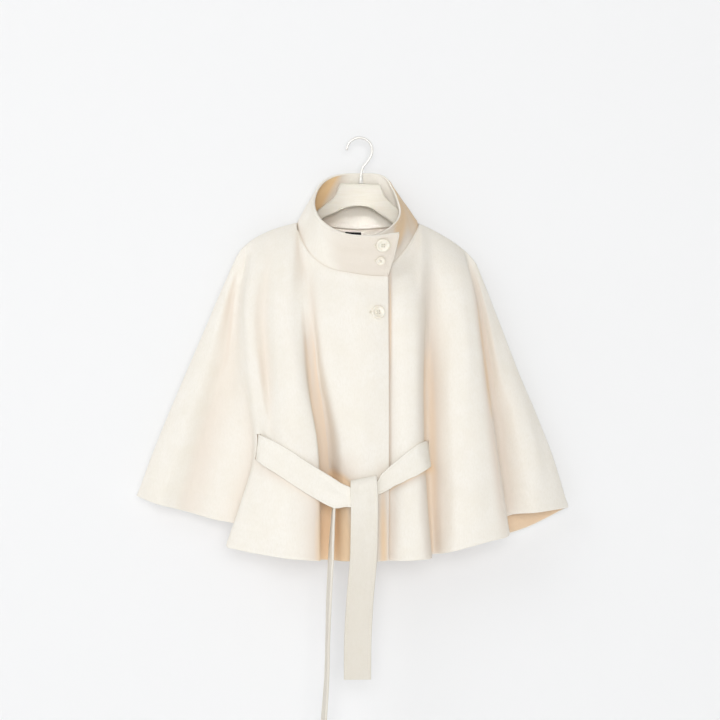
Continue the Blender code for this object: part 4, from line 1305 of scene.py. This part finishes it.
def dressed_panel(name, panel, steps, creases, shade_lines, corner, material, seed):
    """A front or the back, as a shell with its creases, its turned edges and its slit."""
    points, alongs, station_column = panel_grid(panel, steps)
    if corner:
        # The fold below the corner of the neck starts softly
        from_corner = np.linalg.norm(points - np.array(corner), axis=2)
        from_top = edge_distance(points, 0, last=False)
        soft = (1 - smooth_array(*CORNER_RANGE, from_corner)) * smooth_array(*CORNER_EDGE, from_top)
        points = points + (blurred_along(points, CORNER_BLUR) - points) * soft[..., None]
    sign = outward_sign(points, (0, panel.facing, 0))
    normals = grid_normals(points, sign)
    height = panel_relief(panel, points, creases, seed)
    holes = set()
    turned = len(SEAM_ALLOWANCE)
    if SLIT_FOLD in panel.names:
        station = panel.names.index(SLIT_FOLD)
        slit_column, slit_end = station_column[station], station_column[station + 1]
        slit_row, slit_rows = sum(PANEL_ROW_STEPS[:5]), PANEL_ROW_STEPS[5]
        holes = {
            (turned + slit_row + i, j) for i in range(slit_rows) for j in range(slit_column, slit_end)
        }
        # The cloth is flat beside the slit, where the belt goes through
        middle = points[slit_row + slit_rows // 2, slit_column + steps // 2]
        height *= smooth_array(*SLIT_FLAT, np.linalg.norm(points - middle, axis=2))
    points = points + normals * height[..., None]
    normals = grid_normals(points, sign)

    turn = 1 - smooth_array(*HEM_TURN, edge_distance(points, 0, last=True))
    if not panel.seam_first:
        turn += 1 - smooth_array(*FRONT_TURN, edge_distance(points, 1, last=False))
    thickness = np.minimum(PANEL_THICK + (EDGE_THICK - PANEL_THICK) * turn, EDGE_THICK)

    # Painted shade of the outer face: in hollows and along the listed strokes, less at the top seam; of the
    # inner face: more lower down
    from_top = edge_distance(points, 0, last=False)
    from_top = SEAM_SHADE + (1 - SEAM_SHADE) * smooth_array(*SEAM_FADE, from_top)
    outer_shade = HOLLOW_SHADE * hollow(points, normals, 2 * steps) * from_top
    outer_shade = np.maximum(outer_shade, np.clip(crease_height(points[..., [0, 2]], shade_lines, 0.0), 0, 1))
    # Slopes that face the window, on the left, take less painted shade from near cloth
    from_top = from_top * (1 - WINDOW_SHARE * smooth_array(*WINDOW_RANGE, -normals[..., 0]))
    within = INSIDE_TOP + INSIDE_SHADE * smooth_array(*INSIDE_RANGE, -points[..., 2])

    # The seam allowance joins at the top edge
    points = np.concatenate([seam_allowance(panel, points[0], alongs), points])
    thickness, outer_shade, from_top, within = [
        np.concatenate([np.repeat(values[:1], turned, axis=0), values])
        for values in (thickness, outer_shade, from_top, within)
    ]
    thickness[:turned] = ALLOWANCE_THICK
    shell = closed_shell(
        points, grid_normals(points, sign), thickness, sign, holes, (outer_shade, from_top),
        (within, INSIDE_GAIN),
    )
    return shell.make(name, material)


def dressed_collar(material, seats):
    """The collar, and its edge stitching still as a shell. seats are the places and the
    radii of the buttons that press into it."""
    alongs = np.linspace(0, NECK_LAST, NECK_LAST * COLLAR_STEPS + 1)
    ups = np.linspace(0, 1, COLLAR_UP_STEPS + 1)
    points = np.array([[collar_point(along, up) for along in alongs] for up in ups])
    sign = outward_sign(points, (points - np.array([0.0, COLLAR_MIDDLE_Y, 0.0])) * (1, 1, 0))
    normals = grid_normals(points, sign)
    # The sides turned away from the window get painted shade, warm like light from other cloth
    side, drop, front, inner = [
        smooth_array(low, high, sign_out * normals[..., axis])
        for low, high, sign_out, axis in COLLAR_TURNED
    ]
    outside = (COLLAR_SIDE_TONE * side + COLLAR_LOW_TONE * (drop * front), COLLAR_GAIN)
    inside = (COLLAR_INNER_TONE * inner, COLLAR_INNER_GAIN)

    from_base = edge_distance(points, 0, last=False)
    from_rim = edge_distance(points, 0, last=True)
    from_over = edge_distance(points, 1, last=False)
    scale = from_base[-1].mean()
    spread = from_over[len(ups) // 2]
    flat = np.stack(np.broadcast_arrays(spread[None, :], ups[:, None] * scale), axis=-1)
    creases = []
    for a0, u0, a1, u1, half_width, rise in CREASES_COLLAR:
        start, end = np.interp([a0, a1], alongs, spread)
        creases.append((start, u0 * scale, end, u1 * scale, half_width, rise))
    height = crease_height(flat, creases) + waviness(points, *COLLAR_WAVES)
    # The rim and both ends are turned over an edge seam and stitched down beside it
    edge = np.minimum(np.minimum(from_rim, from_over), edge_distance(points, 1, last=True))
    height += edge_height(edge, COLLAR_EDGE_RELIEF) + edge_height(from_base, COLLAR_BASE_RELIEF)
    for centre, reach in seats:
        away = np.linalg.norm(points - centre, axis=2)
        pressed = (-SEAT_DEPTH, 0, reach * SEAT_WIDTH)
        ridge = (SEAT_DEPTH * SEAT_RIDGE, reach * SEAT_RIDGE_OUT, SEAT_RIDGE_WIDTH)
        height += edge_height(away, (pressed, ridge))
    points = points + normals * height[..., None]
    # The neck edge tucks in under the seam line, onto the fronts and the back
    points[..., 2] -= 1 - smooth_array(*COLLAR_TUCK, from_base)
    normals = grid_normals(points, sign)
    thickness = np.full(points.shape[:2], COLLAR_CLOTH)
    shell = closed_shell(points, normals, thickness, sign, outside=outside, inside=inside)
    collar = shell.make("dressed_collar", material)

    # Self-coloured edge stitching on the outer face, along the rim and the overlapping end
    thread = Shell()
    row = int(np.argmin(np.abs(from_rim[:, 0] - COLLAR_STITCH_IN)))
    stitch_row(thread, points[row, 3:-3], normals[row, 3:-3])
    over = int(np.argmin(np.abs(spread - COLLAR_STITCH_IN)))
    stitch_row(thread, points[2:row, over], normals[2:row, over])
    return collar, thread


def belt_line(table):
    """The middle of a stretch of belt, the direction of its width, and its width."""
    middles = [Vector(row[:3]) for row in table]
    shapes = [Vector(row[3:6]) for row in table]
    centre, across, width = [], [], []
    for step in range((len(table) - 1) * BELT_STEPS + 1):
        place = step / BELT_STEPS
        centre.append(curve_point(middles, place))
        span = min(int(place), len(table) - 2)
        wide, tilt, yaw = blend(shapes[span], shapes[span + 1], smooth_step(0, 1, place - span))
        tilt, yaw = math.radians(tilt), math.radians(yaw)
        across.append((math.cos(tilt) * math.cos(yaw), -math.cos(tilt) * math.sin(yaw), math.sin(tilt)))
        width.append(wide)
    return np.array(centre), np.array(across), np.array(width)


def turned_edge(face, back, across):
    """The rings of a half round from the face's edge to the back's."""
    rings = []
    for step in range(1, BELT_EDGE_STEPS):
        angle = math.pi * step / BELT_EDGE_STEPS
        ring = (face + back) / 2 + (face - back) / 2 * math.cos(angle)
        rings.append(ring + across * BELT_EDGE_ROUND * math.sin(angle))
    return rings


def dressed_band(name, table, finished, material, thread):
    """A stretch of belt: two layers with turned, stitched edges. finished says that its
    last end shows and is turned and pressed too."""
    centre, across, width = belt_line(table)
    along = unit(np.gradient(centre, axis=0))
    facing = unit(np.cross(across, along))
    if facing[:, 1].sum() > 0:
        facing = -facing
    run = length_along(centre)
    sides = np.linspace(-1, 1, BELT_ACROSS + 1)
    flat_width = width[:, None] / 2 - BELT_EDGE_ROUND
    spread = sides[None, :] * flat_width
    creases = []
    for a0, s0, a1, s1, half_width, rise in CREASES_BELT[name]:
        start, end = np.interp([a0, a1], np.arange(len(table)), run[::BELT_STEPS])
        creases.append((start, s0 * BELT_HALF, end, s1 * BELT_HALF, half_width, rise))
    height = crease_height(np.stack(np.broadcast_arrays(run[:, None], spread), axis=-1), creases)
    grid = centre[:, None] + across[:, None] * spread[..., None]
    rise, size, shift = BELT_WAVES
    height += waviness(grid, rise, size, shift + len(table))
    from_edge = flat_width - np.abs(spread) + BELT_EDGE_ROUND
    if finished:
        from_edge = np.minimum(from_edge, run[-1] - run[:, None])
    half = BELT_THICK / 2 + edge_height(from_edge, BELT_EDGE_RELIEF)

    # The ring round the belt: face, one edge, back, other edge
    face = grid + facing[:, None] * (height + half)[..., None]
    back = grid + facing[:, None] * (height - half)[..., None]
    rings = [face[:, k] for k in range(len(sides))]
    rings += turned_edge(face[:, -1], back[:, -1], across)
    rings += [back[:, k] for k in reversed(range(len(sides)))]
    rings += turned_edge(back[:, 0], face[:, 0], -across)
    loop = np.stack(rings, axis=1)
    count, around = loop.shape[:2]
    # Painted shade on the hanging ends, more down their length
    lower = TAIL_SHADE * smooth_array(*TAIL_RANGE, run[:, None] / run[-1])
    shell = Shell()
    shell.add(loop, np.broadcast_to(lower, loop.shape[:2]) if finished else 0.0, BELT_GAIN)
    for i in range(count - 1):
        shell.bridge(i * around, (i + 1) * around, around)
    # Rounded ends
    for index, direction in ((0, -1), (count - 1, 1)):
        ring = loop[index]
        middle = ring.mean(axis=0)
        smaller = middle + (ring - middle) * BELT_END_SHARE
        start = shell.add(smaller + along[index] * direction * BELT_END_OUT)
        shell.bridge(index * around, start, around, direction)
        shell.cap(start, around, direction)
    piece = shell.make("dressed_" + name, material)
    face_outwards(piece.data)

    inset = 1 - (BELT_STITCH_IN - BELT_EDGE_ROUND) / flat_width[:, 0]
    for side in (-1, 1):
        for layer, out in ((face, facing), (back, -facing)):
            places = [
                [np.interp(side * inset[i], sides, layer[i, :, axis]) for axis in range(3)]
                for i in range(count)
            ]
            stitch_row(thread, np.array(places)[2:-2], out[2:-2])
    return piece


def facing_matrix(centre, normal):
    """Places a turned shape whose axis is Z so that it faces along normal."""
    normal = Vector(normal)
    side = Vector((0, 0, 1)).cross(normal).normalized()
    turn = Matrix((side, normal.cross(side), normal)).transposed().to_4x4()
    return Matrix.Translation(Vector(centre) * MM) @ turn


def lathe(name, profile, sides, material, place, scale=1.0):
    """A closed shape turned about its own Z from radius, height pairs in mm."""
    shell = Shell()
    angles = np.arange(sides) * 2 * math.pi / sides
    rings = []
    for radius, height in profile:
        if radius == 0:
            rings.append((shell.add([(0, 0, height * scale)]), 1))
            continue
        x, y = radius * scale * np.cos(angles), radius * scale * np.sin(angles)
        rings.append((shell.add(np.stack([x, y, np.full(sides, height * scale)], axis=1)), sides))
    for (first, size), (second, next_size) in zip(rings, rings[1:]):
        for k in range(sides):
            after = (k + 1) % sides
            if size == 1:
                shell.faces.append((first, second + k, second + after))
            elif next_size == 1:
                shell.faces.append((first + k, second, first + after))
            else:
                shell.faces.append((first + k, second + k, second + after, first + after))
    piece = shell.make(name, material)
    piece.data.transform(place)
    face_outwards(piece.data)
    return piece


def smooth_profile(profile, steps):
    points = [Vector((radius, height, 0)) for radius, height in profile]
    smooth = [curve_point(points, step / steps) for step in range((len(points) - 1) * steps + 1)]
    middle = [(max(place.x, 0.0), place.y) for place in smooth[1:-1]]
    return [(0.0, smooth[0].y), *middle, (0.0, smooth[-1].y)]


def dressed_button(name, centre, normal, size, material, thread_material):
    """A turned button with four countersunk holes and its sewing thread."""
    scale = size / BUTTON_DIAMETER
    lift = BUTTON_BACK * scale + SEAM_GAP
    place = facing_matrix(np.array(centre) + np.array(normal) * lift, normal)
    profile = smooth_profile(BUTTON_PROFILE, BUTTON_PROFILE_STEPS)
    button = lathe(name, profile, BUTTON_SIDES, material, Matrix.Identity(4), scale)
    cutters = Shell()
    for turn in range(4):
        angle = math.radians(45 + 90 * turn)
        x = BUTTON_HOLE_SPACING * scale * math.cos(angle)
        y = BUTTON_HOLE_SPACING * scale * math.sin(angle)
        path = [(x, y, height * scale) for height, wide in BUTTON_HOLE_PROFILE]
        radii = [BUTTON_HOLE_RADIUS * scale * wide for height, wide in BUTTON_HOLE_PROFILE]
        tube(cutters, path, radii, BUTTON_HOLE_SIDES)
    cutter = cutters.make(name + "_holes", material)
    face_outwards(cutter.data)
    bore = button.modifiers.new("holes", "BOOLEAN")
    bore.operation = "DIFFERENCE"
    bore.solver = "EXACT"
    bore.object = cutter
    bpy.context.view_layer.update()
    bored = bpy.data.meshes.new_from_object(button.evaluated_get(bpy.context.evaluated_depsgraph_get()))
    button.modifiers.clear()
    button.data = bored
    bpy.data.objects.remove(cutter, do_unlink=True)
    button.data.transform(place)

    # The thread goes crosswise over the four holes, and down into them
    threads = Shell()
    reach = BUTTON_HOLE_SPACING * scale * DIAGONAL
    marks = np.linspace(-1, 1, BUTTON_THREAD_STEPS)
    for pull, (sx, sy) in enumerate(((1, 1), (1, -1))):
        for strand in BUTTON_STRANDS:
            shift = np.array((-sy, sx, 0)) * strand * DIAGONAL * scale
            lifts = THREAD_LOW + THREAD_ARCH * np.cos(marks * math.pi / 2) + THREAD_CROSSED * pull
            lifts = lifts - np.maximum(np.abs(marks) - THREAD_DIP, 0) * THREAD_FALL
            path = [
                np.array((sx * reach * mark, sy * reach * mark, high * scale)) + shift
                for mark, high in zip(marks, lifts)
            ]
            tube(threads, path, [BUTTON_THREAD * scale] * len(path), BUTTON_THREAD_SIDES)
    thread = threads.make(name + "_thread", thread_material)
    thread.data.transform(place)
    return button, thread


def buttonhole(shell, centre, normal, direction, start, end):
    """Close stitches round a cut in the cloth, on both of its lips and round its end."""
    centre = np.array(centre)
    normal = np.array(normal, float)
    direction = np.array(direction, float)
    direction = unit(direction - normal * (direction @ normal))
    side = np.cross(normal, direction)
    stitches = [
        (centre + direction * (start + step * HOLE_STITCH_PITCH), side * lip, LIP_STITCH)
        for lip in (-1, 1)
        for step in range(int((end - start) / HOLE_STITCH_PITCH))
    ]
    for turn in range(-90, 91, HOLE_TURN_STEP):
        angle = math.radians(turn)
        out = direction * math.cos(angle) + side * math.sin(angle)
        stitches.append((centre + direction * end, out, END_STITCH))
    for middle, out, profile in stitches:
        path = [middle + out * reach + normal * high for reach, high, radius in profile]
        tube(shell, path, [radius for reach, high, radius in profile], HOLE_STITCH_SIDES)


def make_stage():
    size = STAGE_SIZE
    paint = wall_material("backdrop_paint", BACKDROP, BACKDROP_GLOW)
    # Each is a rectangle from its front or lower edge to its back or upper one
    edges = {
        "wall": ((WALL_Y, FLOOR_Z), (WALL_Y, size)),
        "floor": ((-size, FLOOR_Z), (WALL_Y, FLOOR_Z)),
    }
    for name, (first, last) in edges.items():
        mesh = bpy.data.meshes.new(name)
        corners = [(-size, *first), (size, *first), (size, *last), (-size, *last)]
        mesh.from_pydata(corners, [], [(0, 1, 2, 3)])
        mesh.materials.append(paint)
        thing = linked("stage_" + name, mesh)


def make_lights():
    for name, location, target, size, power, spread, colour in LIGHTS:
        light = bpy.data.lights.new(name, "AREA")
        light.shape = "DISK"
        light.size = size
        light.energy = power
        light.spread = math.radians(spread)
        light.color = colour
        lamp = linked(name, light)
        lamp.location = location
        lamp.rotation_euler = (Vector(target) - Vector(location)).to_track_quat("-Z", "Y").to_euler()


def make_sky():
    """Soft light from everywhere, a little stronger and warmer from below."""
    world = bpy.data.worlds.new("studio")
    bpy.context.scene.world = world
    world.use_nodes = True
    tree = world.node_tree
    around = add_node(tree, "ShaderNodeTexCoord").outputs["Generated"]
    height = add_node(tree, "ShaderNodeSeparateXYZ", ("Vector", around)).outputs["Z"]
    colour = mix_colour(tree, map_range(tree, height, -1.0, 1.0, 0.0, 1.0), SKY_BELOW, SKY_ABOVE)
    set_inputs(tree, tree.nodes["Background"], ("Strength", 1.0), ("Color", colour))


def make_camera():
    camera = bpy.data.cameras.new("camera")
    camera.sensor_width = SENSOR_WIDTH
    camera.lens = SENSOR_WIDTH * CAMERA_DISTANCE / CAMERA_SPAN
    holder = linked("camera", camera)
    holder.location = (CAMERA_X, -CAMERA_DISTANCE * MM, CAMERA_Z)
    holder.rotation_euler = (math.radians(90), 0, 0)
    bpy.context.scene.camera = holder


def finish_piece(piece, slot, *nodes):
    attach(piece, "root")
    if nodes:
        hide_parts(*nodes)


def dress_panels(front_right, front_left, back, wool):
    right_piece = dressed_panel(
        "dressed_front_right", front_right, STATION_STEPS, CREASES_FRONT_RIGHT, PAINTED_SHADE_FRONT_RIGHT,
        CORNER_FRONT_RIGHT, wool, 1.7,
    )
    left_piece = dressed_panel(
        "dressed_front_left", front_left, STATION_STEPS, CREASES_FRONT_LEFT, PAINTED_SHADE_FRONT_LEFT,
        CORNER_FRONT_LEFT, wool, 2.9,
    )
    back_piece = dressed_panel("dressed_back", back, BACK_STATION_STEPS, CREASES_BACK, (), None, wool, 4.3)
    finish_piece(right_piece, "wool_cloth", "front_right")
    finish_piece(left_piece, "wool_cloth", "front_left")
    finish_piece(back_piece, "wool_cloth", "back")
    return [right_piece, left_piece, back_piece]


def dress_collar(wool, thread_wool):
    seats = [
        (np.array(collar_point(along, other)), size / 2)
        for name, host, along, other, size in BUTTONS
        if host == "collar"
    ]
    collar_piece, thread = dressed_collar(wool, seats)
    finish_piece(collar_piece, "wool_cloth", "collar")
    finish_piece(thread.make("collar_edge_stitching", thread_wool), "wool_cloth")
    return collar_piece


def dress_belt(pressed, hanging, thread_wool):
    thread = Shell()
    pieces = []
    for name, table in BELT_STRETCHES:
        tail = name.startswith("belt_tail")
        piece = dressed_band(name, table, tail, hanging if tail else pressed, thread)
        pieces.append(piece)
        finish_piece(piece, "belt_cloth", name)
    finish_piece(thread.make("belt_edge_stitching", thread_wool), "belt_cloth")
    return pieces


def dress_buttons(front_right, thread_wool):
    resin = button_material("button_resin", BUTTON_CREAM)
    holes = Shell()
    for name, host, along, other, size in BUTTONS:
        if host == "collar":
            centre, normal = collar_point(along, other), collar_normal(along, other)
        else:
            centre, normal = front_right.point(along, other), front_right.normal(along, other)
        button, threads = dressed_button("dressed_" + name, centre, normal, size, resin, thread_wool)
        finish_piece(button, "button_plastic", name)
        finish_piece(threads, "button_plastic")
        buttonhole(holes, centre, normal, (-1, 0, 0), HOLE_START, size * 0.5 + HOLE_PAST)
    finish_piece(holes.make("buttonhole_stitching", thread_wool), "wool_cloth")


def dress_label(back):
    tape = woven_tape_material("label_weave", LABEL_BLACK)
    points = np.array([
        [
            back.point(along, down) + back.normal(along, down) * -(CLOTH + SEAM_GAP)
            for along in (blend(*LABEL_ALONG, j / LABEL_STEPS) for j in range(LABEL_STEPS + 1))
        ]
        for down in (blend(*LABEL_DOWN, i / LABEL_STEPS) for i in range(LABEL_STEPS + 1))
    ])
    sign = outward_sign(points, (0, 1, 0))
    thickness = np.full(points.shape[:2], LABEL_CLOTH)
    label = closed_shell(points, grid_normals(points, sign), thickness, sign).make("dressed_label", tape)
    finish_piece(label, "label_tape", "neck_label")


def dress_hanger(body):
    paint = paint_material("hanger_paint", PAINT_CREAM)
    for material_slot in body.material_slots:
        material_slot.material = paint
    plated = metal_material("hook_plating", PLATED_STEEL)

    wire = HOOK_WIRE / 2
    route = []
    for angle in range(HOOK_BEND_FROM, HOOK_BEND_TO - 1, -HOOK_BEND_STEP):
        turned = math.radians(angle)
        height = wire - HOOK_BEND + HOOK_BEND * math.sin(turned)
        route.append(Vector((HOOK_BEND * math.cos(turned), 0, height)))
    route += [Vector((x, 0, z)) for x, z in HOOK_SHANK]
    steps = (len(route) - 1) * HOOK_STEPS
    path = [np.array(curve_point(route, step / HOOK_STEPS)) for step in range(steps + 1)]
    backwards = unit(path[0] - path[1])
    tip = [path[0] + backwards * reach for reach, wide in HOOK_TIP]
    radii = [wire * wide for reach, wide in HOOK_TIP] + [wire] * (len(path) - 1)
    shell = Shell()
    tube(shell, [*tip, *path[1:]], radii, WIRE_SIDES)
    hook = shell.make("dressed_hook", plated)
    face_outwards(hook.data)
    finish_piece(hook, "hook_metal", "hanger_hook")

    half = (FERRULE_TOP - FERRULE_BOTTOM) / 2
    middle = (FERRULE_TOP + FERRULE_BOTTOM) / 2
    profile = [(0, half), (wire + FERRULE_BORE_ROUND, half)]
    profile += [(FERRULE_RADIUS - cut, half - fall) for cut, fall in FERRULE_UPPER]
    profile += [(FERRULE_RADIUS - cut, rise - half) for cut, rise in FERRULE_LOWER]
    profile.append((0, -half))
    place = Matrix.Translation(Vector((HOOK_SHANK[-1][0], 0, middle)) * MM)
    ferrule = lathe("dressed_ferrule", profile, FERRULE_SIDES, plated, place)
    finish_piece(ferrule, "hook_metal", "hanger_ferrule")


def main():
    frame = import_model()
    make_camera()
    make_stage()
    make_lights()
    make_sky()
    bpy.context.scene.view_settings.view_transform = "Standard"

    wool = wool_material("wool_nap", WOOL_LIGHT, 1.0)
    pressed = wool_material("wool_pressed", WOOL_PRESSED, 0.8)
    # A copy of the pressed wool painted darker for the hanging ends, as painted shade
    hanging = wool_material("wool_pressed_tails_shaded", WOOL_TAILS_SHADED, 0.8, TAIL_PAINTED_SHADE)
    collar_wool = wool_material("wool_collar", WOOL_LIGHT, 1.0, COLLAR_PAINTED_SHADE)
    thread_wool = wool_material("thread_cream", WOOL_THREAD, 0.3)

    front_right = Panel(
        FRONT_RIGHT, front_right_edge, -1, (None, SEAM_FRONT_RIGHT), NECK_FRONT_RIGHT, SLIT_FRONT_RIGHT
    )
    front_left = Panel(
        FRONT_LEFT, front_left_edge, -1, (None, SEAM_FRONT_LEFT), NECK_FRONT_LEFT, SLIT_FRONT_LEFT
    )
    back = Panel(BACK, back_edge, 1, SEAMS_BACK, NECK_BACK, SLIT_FRONT_RIGHT)

    walls = dress_panels(front_right, front_left, back, wool)
    walls.append(dress_collar(collar_wool, thread_wool))
    belt = dress_belt(pressed, hanging, thread_wool)
    paint_shade_near_cloth([*walls, *belt], walls, frame["nodes"]["hanger_body"])
    dress_buttons(front_right, thread_wool)
    dress_label(back)
    dress_hanger(frame["nodes"]["hanger_body"])


main()
